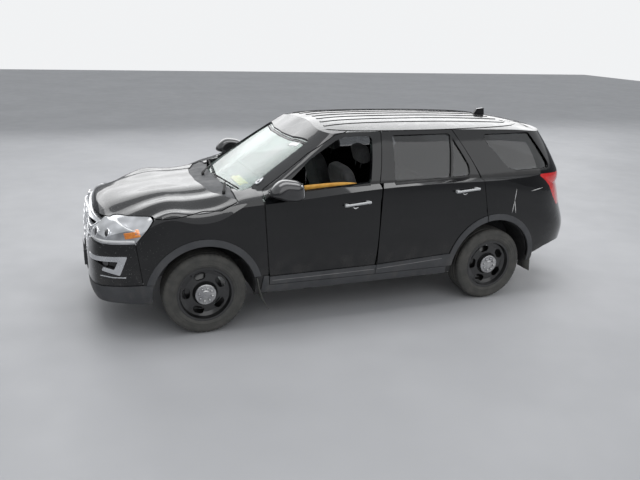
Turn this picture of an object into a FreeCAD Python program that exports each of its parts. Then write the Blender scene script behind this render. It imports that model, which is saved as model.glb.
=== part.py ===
# A police patrol car of the mid-size SUV type, built from separate panels, doors and running gear.
# Millimetres. +X points forward, +Y to the car's left and +Z up. The origin is on the floor,
# under the middle of the car's length and width.
import FreeCAD, Part
import Sketcher
import math
import os

Vector = FreeCAD.Vector
X_AXIS = Vector(1, 0, 0)
Y_AXIS = Vector(0, 1, 0)
Z_AXIS = Vector(0, 0, 1)

# Driving dimensions, kept in the document's spreadsheet.
SIZES = {
    "overall_length": 5037,
    "body_width": 2004,
    "mirror_span": 2292,
    "roof_height": 1758,
    "wheelbase": 2860,
    "front_overhang": 945.5,
    "wheel_track": 1702,
    "tyre_radius": 363,
    "tyre_width": 248,
    "rim_radius": 238,
    "rim_width": 210,
    "hub_cap_radius": 92,
    "headlamp_depth": 110,
    "slot_length": 104,
    "slot_width": 66,
    "slot_turn": 15,
    "front_arch_radius": 442,
    "rear_arch_radius": 456,
    "flare_width": 58,
    "flare_depth": 12,
    "floor_height": 330,
    "floor_thickness": 60,
    "skin": 24,
    "hood_thickness": 34,
    "door_thickness": 90,
    "frame_thickness": 45,
    "glass_thickness": 6,
    "glass_gap": 1,
    "glass_inset": 14,
    "shut_gap": 5,
    "belt_height": 1262,
    "door_bottom": 398,
    "door_top": 1688,
    "roof_seam": 1694,
    "sill_bottom": 316,
    "seat_width": 520,
    "seat_depth": 540,
    "seat_gap": 250,
    "engine_length": 620,
    "engine_width": 640,
    "engine_height": 520,
    "engine_foot": 325.3,
    "plate_width": 330,
    "plate_height": 140,
    "plate_depth": 12,
    "plate_hole_radius": 3.5,
    "plate_hole_spacing": 178,
    "steering_wheel_radius": 188,
    "steering_rim": 16,
    "column_tilt": 24,
    "seat_height": 640,
    "handle_length": 250,
}

doc = FreeCAD.newDocument("patrol_car")
sheet = doc.addObject("Spreadsheet::Sheet", "dims")
for row, (alias, size) in enumerate(SIZES.items(), 1):
    sheet.set("A%d" % row, alias)
    sheet.set("B%d" % row, str(size))
    sheet.setAlias("B%d" % row, alias)
doc.recompute()


def size(alias):
    """A driving dimension, read from the spreadsheet."""
    return float(sheet.get(alias))


HALF_LENGTH = size("overall_length") / 2
HALF_WIDTH = size("body_width") / 2
FRONT_AXLE = HALF_LENGTH - size("front_overhang")
REAR_AXLE = FRONT_AXLE - size("wheelbase")
WHEEL_Y = size("wheel_track") / 2
AXLE_HEIGHT = size("tyre_radius")
BELT = size("belt_height")
GAP = size("shut_gap")
SKIN = size("skin")
ROOF = size("roof_height")
DOOR_LOW = size("door_bottom")
DOOR_HIGH = size("door_top")
FAR = 3000

# Flat faces of neighbouring pieces lie this far apart, or this far where one turns on the other.
SEAT_GAP = 0.3

nodes = {}


def keep(label, shape, placement=None):
    """Adds a free-form sub-part to the document under its own label."""
    item = doc.addObject("Part::Feature", label)
    item.Label = label
    item.Shape = shape
    if placement:
        item.Placement = placement
    nodes[label] = item
    return item


def mirrored(shape):
    return shape.mirror(Vector(0, 0, 0), Y_AXIS)


def both_sides(shape):
    return Part.makeCompound([shape, mirrored(shape)])


def block(x0, x1, y0, y1, z0, z1):
    return Part.makeBox(x1 - x0, y1 - y0, z1 - z0, Vector(x0, y0, z0))


def rounded_loop(corners, radius):
    """A closed wire through 3-D corners in one plane, each corner rounded as far as its runs allow."""
    edges = []
    joints = []
    count = len(corners)
    for i in range(count):
        before, here, after = corners[i - 1], corners[i], corners[(i + 1) % count]
        back = (before - here).normalize()
        on = (after - here).normalize()
        turn = math.pi - back.getAngle(on)
        reach = radius * math.tan(turn / 2)
        reach = min(reach, 0.45 * (before - here).Length, 0.45 * (after - here).Length)
        if turn < 0.02 or reach < 0.5:
            joints.append((here, None, here))
            continue
        bend = reach / math.tan(turn / 2)
        toward = (back + on).normalize()
        middle = here + toward * (bend / math.cos(turn / 2) - bend)
        joints.append((here + back * reach, middle, here + on * reach))
    for i in range(count):
        start, middle, end = joints[i]
        if middle is not None:
            edges.append(Part.Arc(start, middle, end).toShape())
        following = joints[(i + 1) % count][0]
        if (following - end).Length > 0.01:
            edges.append(Part.LineSegment(end, following).toShape())
    return Part.Wire(edges)


def side_prism(points, radius=0, y0=0, y1=FAR):
    """A side-view outline (x, z) carried across the car from y0 to y1."""
    corners = [Vector(x, y0, z) for x, z in points]
    return Part.Face(rounded_loop(corners, radius)).extrude(Vector(0, y1 - y0, 0))


def end_prism(points, radius=0, x0=0, x1=FAR):
    """An end-view outline (y, z) carried along the car from x0 to x1."""
    corners = [Vector(x0, y, z) for y, z in points]
    return Part.Face(rounded_loop(corners, radius)).extrude(Vector(x1 - x0, 0, 0))


def plan_prism(points, radius=0, z0=0, z1=FAR):
    """A plan outline (x, y) carried up from z0 to z1."""
    corners = [Vector(x, y, z0) for x, y in points]
    return Part.Face(rounded_loop(corners, radius)).extrude(Vector(0, 0, z1 - z0))


def chord_knots(points):
    """Shares of the way along a row of points, used for every curve of one loft."""
    reach = [0.0]
    for here, there in zip(points, points[1:]):
        reach.append(reach[-1] + (there - here).Length)
    return [r / reach[-1] for r in reach]


def spline(points, knots, closed=False):
    curve = Part.BSplineCurve()
    curve.interpolate(Points=points, PeriodicFlag=closed, Parameters=knots)
    return curve.toShape()


def loft(rows, closers=None):
    """A solid through rows of points; each row is closed on itself, or by straight lines through its closers."""
    if closers is None:
        knots = chord_knots(rows[0] + rows[0][:1])
        wires = [Part.Wire([spline(row, knots, True)]) for row in rows]
        return Part.makeLoft(wires, True, False, False, 3)
    knots = chord_knots(rows[0])
    wires = []
    for row, corners in zip(rows, closers):
        ends = [row[-1]] + corners + [row[0]]
        lines = [Part.LineSegment(a, b).toShape() for a, b in zip(ends, ends[1:])]
        wires.append(Part.Wire([spline(row, knots)] + lines))
    return Part.makeLoft(wires, True, False, False, 3)


def whole_loop(left):
    """A left-hand outline from the nose to the tail, and its mirror image back to the nose."""
    return left + [Vector(p.x, -p.y, p.z) for p in reversed(left[1:-1])]


# The body's plan outline: distance back from the nose against the share of the half width.
NOSE_PLAN = [(0, 0.0), (8, 0.40), (26, 0.60), (60, 0.71), (130, 0.79), (250, 0.87), (400, 0.935), (640, 0.978)]
SIDE_PLAN = [(1300, 0.992), (500, 1.0), (-300, 1.0), (-1100, 0.995)]
TAIL_PLAN = [(700, 0.97), (480, 0.93), (310, 0.85), (188, 0.74), (90, 0.60), (24, 0.40), (0, 0.0)]

# Levels of the lower body: height, setback of the nose, of the tail and of the sides.
LOWER_LEVELS = [
    (250, 74, 88, 98),
    (330, 30, 50, 60),
    (430, 16, 18, 30),
    (560, 14, 5, 12),
    (700, 16, 11, 3),
    (850, 34, 72, 2),
    (980, 60, 112, 6),
    (1110, 90, 158, 12),
    (1200, 110, 212, 18),
    (1262, 128, 252, 24),
    (1300, 140, 276, 28),
]
# The shoulder under the windows: x, y of its upper edge at the belt, and height of its lower edge.
SHOULDER_LINE = [(2750, 852, 1020), (1900, 886, 1072), (1085, 896, 1122), (500, 902, 1172), (-22, 906, 1210),
                 (-1132, 896, 1222), (-1750, 866, 1222), (-2050, 812, 1215), (-2750, 560, 1200)]
SHOULDER_TUCK = 14


def body_outline(height, nose, tail, side):
    """One level of the lower body."""
    front = HALF_LENGTH - nose
    back = -HALF_LENGTH + tail
    half = HALF_WIDTH - side
    plan = [(front - dx, share) for dx, share in NOSE_PLAN]
    plan += SIDE_PLAN
    plan += [(back + dx, share) for dx, share in TAIL_PLAN]
    return whole_loop([Vector(x, half * share, height) for x, share in plan])


def air_over_shoulder(inset=0):
    """The space outside the left shoulder, whose surface is moved in by inset."""
    sections = []
    crease_y = HALF_WIDTH - SHOULDER_TUCK - inset
    for x, edge_y, crease in SHOULDER_LINE:
        edge_y -= inset
        fall = (BELT - crease) / (crease_y - edge_y)
        inner_y, outer_y, top = edge_y - 60, HALF_WIDTH + 100, BELT + 100
        points = [(inner_y, BELT + 60 * fall), (outer_y, crease - (outer_y - crease_y) * fall)]
        points += [(outer_y, top + 60 * fall), (inner_y, top + 60 * fall)]
        sections.append(Part.makePolygon([Vector(x, y, z) for y, z in points + points[:1]]))
    return Part.makeLoft(sections, True, False, False, 3)


def lower_body(inset=0, bottom=0):
    """The lower body up to the belt, as a solid inside the skin by inset."""
    levels = [level for level in LOWER_LEVELS if level[0] >= bottom]
    solid = loft([body_outline(height, *[setback + inset for setback in rest]) for height, *rest in levels])
    shoulder = air_over_shoulder(inset)
    return solid.cut([shoulder, mirrored(shoulder), air_over_hood(inset), block(-FAR, FAR, -FAR, FAR, BELT, FAR)])


# The hood's middle line from the windscreen forward, and over the front lip: x, z and share of the front's drop.
HOOD_LINE = [(860, 1275), (1080, 1228), (1250, 1203), (1420, 1187), (1700, 1170), (2030, 1135), (2275, 1090)]
HOOD_LIP = [(2350, 1058, 0.62), (2396, 1022, 0.45), (2420, 985, 0.3), (2462, 955, 0.3), (2500, 850, 0.3)]
# How far the hood drops towards its sides: y, drop at each of the four stations, and how far the nose falls back.
HOOD_STATIONS = [1250, 1420, 2030, 2275]
HOOD_CROWN = [(0, 0, 0, 0, 0, 0), (200, 1, 3, 3, 8, 4), (420, 4, 9, 10, 34, 24), (470, 8, 20, 24, 48, 30),
              (600, 14, 32, 42, 78, 50), (750, 24, 56, 70, 118, 110), (850, 38, 84, 94, 150, 180),
              (960, 70, 128, 136, 200, 260), (1100, 130, 230, 260, 290, 330)]
HOOD_FRONT = 2396


def hood_drop(x, drops):
    """The drop at x, between the stations on each side of it, and none at the foot of the windscreen."""
    if x <= HOOD_STATIONS[0]:
        return drops[0] * max(0, (x - HOOD_LINE[0][0]) / (HOOD_STATIONS[0] - HOOD_LINE[0][0]))
    for (xa, xb), (a, b) in zip(zip(HOOD_STATIONS, HOOD_STATIONS[1:]), zip(drops, drops[1:])):
        if x <= xb:
            return a + (b - a) * (x - xa) / (xb - xa)
    return drops[-1]


def air_over_hood(inset=0):
    """The space above the hood's surface, which is lowered by inset."""
    rows = []
    closers = []
    crown = [(-y, *rest) for y, *rest in reversed(HOOD_CROWN[1:])] + HOOD_CROWN
    for y, *drops, back in crown:
        row = []
        for x, z in HOOD_LINE:
            share = max(0, (x - HOOD_STATIONS[1]) / (HOOD_FRONT - HOOD_STATIONS[1])) ** 3
            row.append(Vector(x - back * share, y, z - hood_drop(x, drops) - inset))
        row += [Vector(x - back - inset, y, z - share * drops[-1] - inset) for x, z, share in HOOD_LIP]
        rows.append(row)
        top = BELT + 60
        closers.append([Vector(2700, y, row[-1].z), Vector(2700, y, top), Vector(HOOD_LINE[0][0], y, top)])
    return loft(rows, closers)


# The cabin's plan at the belt and at the roof's edge, from the windscreen back to the liftgate.
CABIN_BASE = [(1133, 0), (1120, 300), (1046, 690), (985, 800), (880, 885), (600, 918), (0, 926), (-700, 924),
              (-1300, 910), (-1750, 888), (-2000, 848), (-2130, 770), (-2215, 640), (-2275, 400), (-2300, 0)]
CABIN_HEAD = [(420, 0), (413, 260), (372, 555), (330, 622), (230, 670), (50, 698), (-300, 706), (-800, 704),
              (-1250, 694), (-1600, 676), (-1800, 648), (-1900, 596), (-1950, 500), (-1985, 300), (-2000, 0)]
HEAD_HEIGHT = 1710
PILLAR_FOOT = 950
CABIN_BOW = 26
# Levels of the cabin: height, and how far the side, front and back have turned in to the roof.
CABIN_LEVELS = [(1120, 0, 0, 0), (BELT, 0, 0, 0), (1400, 0, 0, 0), (1550, 0, 0, 0), (1660, 0, 0, 0),
                (HEAD_HEIGHT, 0, 0, 0), (1742, 52, 66, 20), (1790, 190, 230, 60)]
# The roof's middle line, measured down from its highest point, and its drop towards the sides.
ROOF_LINE = [(560, 74), (300, 23), (0, 5), (-400, 0), (-900, 3), (-1400, 17), (-1800, 45), (-2050, 86), (-2300, 128)]
ROOF_CROWN = [(0, 0), (350, 12), (500, 27), (640, 49), (820, 90)]


def cabin_outline(height, side, front, back, inset):
    slope = min((height - BELT) / (HEAD_HEIGHT - BELT), 1)
    share = max(slope, 0)
    left = []
    for (xa, ya), (xb, yb) in zip(CABIN_BASE, CABIN_HEAD):
        x = xa + (xb - xa) * (slope if xa > PILLAR_FOOT else share)
        y = ya + (yb - ya) * share
        if y > 1:
            bow = CABIN_BOW * 4 * share * (1 - share)
            y += (bow - side - 1.12 * inset) * min(1, y / 500)
        forward = min(1, max(0, (x - 150) / 250.0))
        rearward = min(1, max(0, (-1750 - x) / 200.0))
        x += rearward * (back + 1.3 * inset) - forward * (front + 1.8 * inset)
        left.append(Vector(x, y, height))
    return whole_loop(left)


def roof_air(inset=0):
    """The space above the roof's surface, which is lowered by inset."""
    rows = []
    closers = []
    for y, drop in [(-y, drop) for y, drop in reversed(ROOF_CROWN[1:])] + ROOF_CROWN:
        row = [Vector(x, y, ROOF - fall - drop - inset) for x, fall in ROOF_LINE]
        rows.append(row)
        closers.append([Vector(row[-1].x, y, 1850), Vector(row[0].x, y, 1850)])
    return loft(rows, closers)


def cabin(inset=0):
    """The cabin above the belt as a solid, inside the skin by inset."""
    solid = loft([cabin_outline(*level, inset) for level in CABIN_LEVELS])
    return solid.cut(roof_air(inset))


def low_hull(inset=0):
    """The lower body's sides, nose and tail, with nothing taken off for the hood and shoulders."""
    return loft([body_outline(height, *[setback + inset for setback in rest]) for height, *rest in LOWER_LEVELS])


def one_solid(shape):
    """The largest solid of a boolean result."""
    return max(shape.Solids, key=lambda solid: solid.Volume)


# Outlines of the panels and windows in side view (x, z), or in end view (y, z) for those across the car.
FRONT_DOOR = [(1010, DOOR_LOW), (1067, 1190), (1018, 1232), (602, 1510), (330, 1658), (190, DOOR_HIGH),
              (-107, DOOR_HIGH), (-38, 1265), (-13, DOOR_LOW)]
REAR_DOOR = [(-19, DOOR_LOW), (-44, 1265), (-113, DOOR_HIGH), (-862, DOOR_HIGH), (-1115, 1262), (-1183, 918), (-1200, 700),
             (-1000, DOOR_LOW)]
FRONT_WINDOW = [(915, 1199), (860, 1262), (596, 1474), (340, 1614), (240, 1646), (-12, 1652), (52, 1259)]
REAR_WINDOW = [(-190, 1252), (-214, 1652), (-800, 1656), (-838, 1640), (-990, 1370), (-996, 1300), (-975, 1278)]
QUARTER_WINDOW = [(-1190, 1640), (-1245, 1540), (-1440, 1332), (-1545, 1298), (-1992, 1302), (-1762, 1642)]
REAR_DOOR_BAR = [(-772, 1240), (-794, 1240), (-858, 1670), (-834, 1670)]
WINDSCREEN = [(1297, 0), (1287, 350), (1214, 706), (538, 604), (596, 300), (610, 0)]
HOOD_SEAM = [(1276, 1150), (1419, 1089), (1700, 1068), (1967, 1050), (2330, 1008), (2425, 990), (2600, 986)]
LAMP_SEAM = [(2132, 850), (2313, 834), (2600, 826)]
BUMPER_SEAM = [(2088, 487), (2408, 455), (2600, 455)]
FENDER = [(1015, 300), (1072, 1190), (1105, 1228), (1262, 1190), (1271, 1145), (1419, 1084), (1700, 1063), (1964, 1045),
          (2126, 850), (2082, 487), (1700, 487), (1500, 300)]
HOOD = HOOD_SEAM + [(2600, 1300), (1262, 1300)]
HEADLAMP = [(1976, 1043)] + [(x, z - GAP) for x, z in HOOD_SEAM[4:]] + [(x, z + SEAT_GAP) for x, z in reversed(LAMP_SEAM)]
BUMPER = [(x, z + GAP) for x, z in BUMPER_SEAM[:1]] + LAMP_SEAM + [(x, z + GAP) for x, z in BUMPER_SEAM[:0:-1]]
VALANCE = [(1990, 482), (2088, 482)] + [(x, z - GAP) for x, z in BUMPER_SEAM[1:]] + [(2600, 290), (1990, 290)]
GRILLE = [(-548, 972), (548, 972), (560, 838), (500, 664), (-500, 664), (-560, 838)]
TAIL_LAMP = [(-1795, 1250), (-1900, 1188), (-1970, 1125), (-2040, 1010), (-2130, 905), (-2600, 880), (-2600, 1240),
             (-2150, 1244)]
REAR_BUMPER_FOOT = [(-2600, 505), (-2115, 520), (-1973, 494), (-1796, 425), (-1690, 388)]
REAR_BUMPER = REAR_BUMPER_FOOT + [(-1760, 560), (-2050, 820), (-2240, 854), (-2600, 854)]
LIFTGATE = [(-575, 592), (575, 592), (604, 860), (612, 1300), (612, 1700), (-612, 1700), (-612, 1300), (-604, 860)]
REAR_GLASS = [(-520, 1310), (520, 1310), (476, 1632), (-476, 1632)]
# Plan outlines: the hood's rear edge over the cowl and the spoiler's rear edge.
HOOD_REAR = [(1270, 1010), (1272, 840), (1375, 665), (1462, 440), (1498, 150)]
SPOILER_REAR = [(-1960, 606), (-1998, 540), (-2030, 300), (-2044, 0)]


def grown(points, gap, radius=0):
    """A side outline moved outwards by the gap."""
    face = Part.Face(rounded_loop([Vector(x, 0, z) for x, z in points], radius))
    wire = face.OuterWire.makeOffset2D(gap, 2)
    return Part.Face(wire).extrude(Vector(0, FAR, 0))


# The wheel arches: the middle of each opening and its radius. The rear one sits a little back and up.
ARCHES = {"front": (FRONT_AXLE, AXLE_HEIGHT + 4, size("front_arch_radius")),
          "rear": (REAR_AXLE - 13, AXLE_HEIGHT + 17, size("rear_arch_radius"))}


def arch_cylinder(place, extra, y0, y1):
    x, z, radius = ARCHES[place]
    return Part.makeCylinder(radius + extra, y1 - y0, Vector(x, y0, z), Y_AXIS)


DOOR_DEPTH = size("door_thickness")
FRAME_DEPTH = size("frame_thickness")
LEFT = block(-FAR, FAR, 0, FAR, 0, FAR)

skin_low = one_solid(lower_body())
skin_high = cabin()
panel_low = one_solid(lower_body(SKIN))
hood_low = one_solid(lower_body(size("hood_thickness")))
door_low = one_solid(lower_body(DOOR_DEPTH))
door_high = cabin(FRAME_DEPTH)
outer = skin_low.fuse(skin_high)
inner = door_low.fuse(door_high)
arches = [arch_cylinder(place, 0, 560, FAR) for place in ARCHES]
left_wall = outer.common(LEFT).cut([inner] + arches)
left_skin = skin_low.common(LEFT).cut([panel_low] + arches)


def panel(wall, region, *cuts):
    """The part of a wall inside a region, without the given cuts."""
    shape = wall.common(region)
    if cuts:
        shape = shape.cut(list(cuts))
    return one_solid(shape)


def pair(label, shape):
    return keep(label, both_sides(shape))


WINDSCREEN_LOOP = WINDSCREEN + [(x, -y) for x, y in reversed(WINDSCREEN[1:-1])]
windscreen_hole = plan_prism(WINDSCREEN_LOOP, 40, 1100, 1712)
ROOF_REAR = -1886
gate_edge = Part.Face(rounded_loop([Vector(ROOF_REAR, y, z) for y, z in LIFTGATE], 30)).OuterWire
liftgate_hole = Part.Face(gate_edge.makeOffset2D(GAP, 2)).extrude(Vector(-FAR, 0, 0))
SIDE_FRONT = 1256
WINDOW_RADIUS = 34
GLASS_INSET = size("glass_inset")
glass_outer = cabin(GLASS_INSET)
HANDLE_LENGTH = size("handle_length")
HANDLES = {"front": (334, 1084), "rear": (-800, 1147)}
roof_zone = block(ROOF_REAR, 760, -1000, 1000, size("roof_seam"), FAR).fuse(block(300, 760, -560, 560, 1560, FAR))
tail_lamp_zone = side_prism(TAIL_LAMP, 12)
rear_bumper_zone = side_prism(REAR_BUMPER, 12)

# The left wall in three lengths, so that each panel is cut from a small piece.
FRONT_END = 1000
REAR_END = -1000
front_skin = left_skin.common(block(FRONT_END, FAR, 0, FAR, 0, FAR))
rear_wall = left_wall.common(block(-FAR, REAR_END, 0, FAR, 0, FAR))
rear_skin = left_skin.common(block(-FAR, REAR_END, 0, FAR, 0, FAR))

# Roof with its long ribs and the fin antenna.
RIB_HEIGHT = 5
rib_shell = cabin(-RIB_HEIGHT).cut(skin_high)
roof = one_solid(skin_high.common(roof_zone).cut([door_high, windscreen_hole]))
for y, x0 in ((0, 300), (150, 310), (-150, 310), (300, 330), (-300, 330), (450, 350), (-450, 350)):
    rib = rib_shell.common(plan_prism([(x0, y - 22), (x0, y + 22), (-1640, y + 22), (-1640, y - 22)], 20, 1600, 1900))
    roof = roof.fuse(rib)
fin = side_prism([(-1540, 1720), (-1564, 1742), (-1600, 1789), (-1684, 1798), (-1698, 1700)], 8, -14, 14)
roof = one_solid(roof.fuse(fin.cut(skin_high)))
keep("roof_panel", roof)

# The body's sides: rear quarter, sill, pillars and the frame that the doors close on.
side_zone = block(-FAR, SIDE_FRONT, 562, FAR, size("sill_bottom"), size("roof_seam") - GAP)
hood_zone = side_prism(HOOD, 0, -FAR, FAR)
FLANGE = 45
deep = one_solid(lower_body(DOOR_DEPTH + 34)).fuse(cabin(FRAME_DEPTH + 42))
seal = one_solid(lower_body(DOOR_DEPTH + GAP)).fuse(cabin(FRAME_DEPTH + GAP))
side_wall = outer.common(side_zone).cut([deep] + arches)
side_wall = side_wall.cut([windscreen_hole, liftgate_hole, tail_lamp_zone, rear_bumper_zone, hood_zone,
                           side_prism(QUARTER_WINDOW, WINDOW_RADIUS), side_prism(FENDER, 0).cut(panel_low),
                           block(-FAR, ROOF_REAR, 0, SPOILER_REAR[0][1] + GAP, 1600, FAR)])
for outline in (FRONT_DOOR, REAR_DOOR):
    side_wall = side_wall.cut(grown(outline, GAP).cut(seal))
    side_wall = side_wall.cut(grown(outline, -FLANGE).cut(arch_cylinder("rear", FLANGE, 500, FAR)))
JACK_PADS = (620, -640)
pads = [block(x - 40, x + 40, 842, 912, size("sill_bottom") - 20, size("sill_bottom")) for x in JACK_PADS]
# The latch strikers that the doors' inner faces rest on.
strikers = [block(-10, 34, 860, 960, 700, 760), block(-1170, -1095, 860, 960, 930, 980)]
pads += [striker.common(door_low.translated(Vector(0, -SEAT_GAP, 0))) for striker in strikers]
body_side = one_solid(one_solid(side_wall).fuse(pads))
keep("body_side_left", body_side)
keep("body_side_right", mirrored(body_side))



def bevel(stations, slope):
    """A wedge that slopes a door's shut face away from its neighbour: stations of x, skin y and height."""
    depth = 2 * DOOR_DEPTH + 60
    wires = []
    for x, y, z in stations:
        outer_y = y + 4
        inner_y = y - depth
        beyond = x - math.copysign(8, slope)
        corners = [Vector(x, outer_y, z), Vector(beyond, outer_y, z), Vector(beyond, inner_y, z),
                   Vector(x + slope * (outer_y - inner_y), inner_y, z)]
        wires.append(Part.makePolygon(corners + corners[:1]))
    return Part.makeLoft(wires, True, True)


# The doors' shut faces slope, so that the edges clear their neighbours as the doors swing.
DOORS = {
    "front": (FRONT_DOOR, FRONT_WINDOW,
              [bevel([(-13, 1002, 380), (-31, 1000, 1100), (-38, 930, 1265), (-73, 845, 1480), (-110, 722, 1705)], 0.45),
               bevel([(1010, 1002, 380), (1068, 1000, 1200)], -0.42)]),
    "rear": (REAR_DOOR, REAR_WINDOW,
             [bevel([(-1183, 1000, 918), (-1115, 930, 1262), (-989, 845, 1480), (-862, 722, 1688), (-852, 716, 1705)], 0.62),
              bevel([(-19, 1002, 380), (-44, 1000, 1250)], -0.42)]),
}
for place, (outline, window, bevels) in DOORS.items():
    shape = panel(left_wall, side_prism(outline, 14, 600, FAR), side_prism(window, WINDOW_RADIUS), *bevels)
    if place == "rear":
        bar = left_wall.common(side_prism(REAR_DOOR_BAR, 0, 600, FAR)).cut(glass_outer)
        shape = one_solid(shape.fuse(bar))
    scoop = Part.makeSphere(1)
    spread = FreeCAD.Matrix()
    spread.scale(Vector(58, 16, 34))
    scoop = scoop.transformGeometry(spread)
    x, z = HANDLES[place]
    scoop.translate(Vector(x - HANDLE_LENGTH * 0.45, HALF_WIDTH - 4, z + 6))
    shape = one_solid(shape.cut(scoop))
    keep("door_%s_left" % place, shape)
    keep("door_%s_right" % place, mirrored(shape))

pair("front_fenders", panel(front_skin, side_prism(FENDER, 6, 600, FAR), windscreen_hole))
lamp_back = skin_low.translated(Vector(-size("headlamp_depth"), -40, -20))
pair("headlamps", panel(skin_low, side_prism(HEADLAMP, 6, 566, FAR), lamp_back))
pair("tail_lamps", panel(rear_wall, tail_lamp_zone, liftgate_hole))
grille_zone = end_prism(GRILLE, 20, 2200, FAR)
nose_skin = front_skin.fuse(mirrored(front_skin))
tail_skin = rear_skin.fuse(mirrored(rear_skin))
PLATE_Z = 560
plate_holes = [Part.makeCylinder(size("plate_hole_radius"), 400, Vector(2300, y * size("plate_hole_spacing") / 2, PLATE_Z),
                                 X_AXIS) for y in (-1, 1)]
intakes = [end_prism([(y * 190, 508), (y * 470, 508), (y * 440, 640), (y * 190, 640)], 16, 2300, FAR) for y in (-1, 1)]
# The lamp pocket in each front corner, which a C-shaped bezel frames.
BEZEL = [(2486, 714), (2198, 742), (2262, 570), (2400, 600), (2384, 634), (2304, 618), (2272, 692), (2482, 676)]
POCKET = [(2482, 682), (2272, 698), (2304, 624), (2384, 640)]
pocket_depth = 16
pocket = side_prism(POCKET, 6, 600, FAR).cut(skin_low.translated(Vector(-pocket_depth, -pocket_depth, 0)))
bumper = one_solid(nose_skin.common(side_prism(BUMPER, 4, -FAR, FAR)).cut([grille_zone] + intakes + plate_holes))
keep("front_bumper", one_solid(bumper.cut([pocket, mirrored(pocket)])))
keep("front_valance", one_solid(nose_skin.common(side_prism(VALANCE, 4, -FAR, FAR))))
rear_bumper = one_solid(tail_skin.common(side_prism(REAR_BUMPER, 12, -FAR, FAR)).cut(liftgate_hole))
gate_foot = LIFTGATE[0][1]
gate_rests = [block(-2502, -2440, y - 20, y + 20, gate_foot - 26, gate_foot - SEAT_GAP) for y in (-300, 300)]
keep("rear_bumper", one_solid(rear_bumper.fuse(gate_rests)))
hood_edge = HOOD_REAR + [(x, -y) for x, y in reversed(HOOD_REAR)]
hood_plan = plan_prism(hood_edge + [(2700, -1010), (2700, 1010)], 160)
keep("hood", one_solid(skin_low.common(hood_zone).common(hood_plan).cut([hood_low, grille_zone])))

# The cowl under the wipers, between the windscreen and the hood.
COWL_DROP = 12
COWL_GAP = 2
cowl_plan = plan_prism([(x - GAP, y) for x, y in hood_edge[1:-1]] + [(1100, -840), (1100, 840)], 0)
cowl = skin_low.translated(Vector(0, 0, -COWL_DROP)).cut(skin_low.translated(Vector(0, 0, -COWL_DROP - 14)))
cowl = cowl.common(cowl_plan).common(block(1100, 1560, -840, 840, 1000, 1300))
fender_zone = grown(FENDER, COWL_GAP).common(block(0, FAR, 600 - COWL_GAP, FAR, 0, FAR))
cowl = cowl.cut([fender_zone, mirrored(fender_zone), hood_plan, windscreen_hole, block(0, SIDE_FRONT + SEAT_GAP, 561, FAR, 0, FAR),
                 block(0, SIDE_FRONT + SEAT_GAP, -FAR, -561, 0, FAR)])
keep("cowl_panel", one_solid(cowl))

# Liftgate with its glass opening and the spoiler over it.
rear_glass_hole = end_prism(REAR_GLASS, WINDOW_RADIUS, -FAR, -1880)
tail_wall = rear_wall.fuse(mirrored(rear_wall))
gate_front = ROOF_REAR - GAP
spoiler_edge = SPOILER_REAR + [(x, -y) for x, y in reversed(SPOILER_REAR[:-1])]
spoiler = side_prism([(gate_front, 1730), (-2060, 1730), (-2060, 1652), (-1992, 1648), (-1950, 1636), (gate_front, 1640)], 4,
                     -SPOILER_REAR[0][1], SPOILER_REAR[0][1])
spoiler = spoiler.common(plan_prism(spoiler_edge + [(gate_front, -606), (gate_front, 606)], 30, 1600, 1800))
gate = tail_wall.common(end_prism(LIFTGATE, 30, -FAR, gate_front)).cut(rear_glass_hole)
gate = one_solid(gate.fuse(spoiler.cut([door_high, roof_air()])))
keep("liftgate", gate)

# Glass lies a little inside the skin.
glass_shell = glass_outer.cut(cabin(GLASS_INSET + size("glass_thickness")))
left_glass = glass_shell.common(block(-FAR, FAR, 300, FAR, 1150, FAR))
PANE = size("glass_gap")
pane = {name: left_glass.common(grown(points, -PANE, WINDOW_RADIUS)) for name, points in (
    ("front", FRONT_WINDOW), ("rear", REAR_WINDOW), ("quarter", QUARTER_WINDOW))}
keep("door_glass_front_right", mirrored(one_solid(pane["front"])))
keep("door_glass_rear_left", one_solid(pane["rear"]))
keep("door_glass_rear_right", mirrored(one_solid(pane["rear"])))
pair("quarter_glasses", one_solid(pane["quarter"]))
keep("windscreen", one_solid(glass_shell.common(windscreen_hole).common(block(500, 1400, -FAR, FAR, 1150, 1640))))
keep("liftgate_glass", one_solid(glass_shell.common(rear_glass_hole)))

# Matte mouldings stand proud of the skin round the arches and along the sills.
FLARE = size("flare_width")
hull = low_hull()
trim_wall = low_hull(-size("flare_depth")).cut(hull).common(block(-FAR, FAR, 700, FAR, 0, 960))


def arch_ring(place):
    return arch_cylinder(place, FLARE, 600, FAR).cut(arch_cylinder(place, 0, 500, FAR))


CLADDING = [(1005, DOOR_LOW), (1008, 474), (-16, 488), (-757, 524), (-1200, 524), (-1200, DOOR_LOW)]
SILL_BOTTOM = size("sill_bottom")
SILL = [(1085, SILL_BOTTOM), (1062, 488), (1016, 484), (1012, DOOR_LOW - GAP), (-1200, DOOR_LOW - GAP), (-1200, SILL_BOTTOM)]
front_ring = trim_wall.common(arch_ring("front")).common(block(-FAR, FAR, 0, FAR, 490, FAR))
rear_ring = trim_wall.common(arch_ring("rear")).common(block(-FAR, FAR, 0, FAR, 352, FAR))
door_ring = rear_ring.common(side_prism(REAR_DOOR, 0))
body_ring = rear_ring.cut(grown(REAR_DOOR, GAP)).common(block(-FAR, -1200, 0, FAR, 0, FAR))
strip = trim_wall.common(side_prism(CLADDING, 0)).cut(arches[1])
front_strip = one_solid(strip.common(side_prism(FRONT_DOOR, 0)))
rear_strip = one_solid(strip.common(side_prism(REAR_DOOR, 0)).fuse(door_ring))
sill = trim_wall.common(side_prism(SILL, 0)).cut([arches[0], arches[1], arch_cylinder("rear", FLARE, 500, FAR)])
HANDLE_RISE = 20


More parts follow.
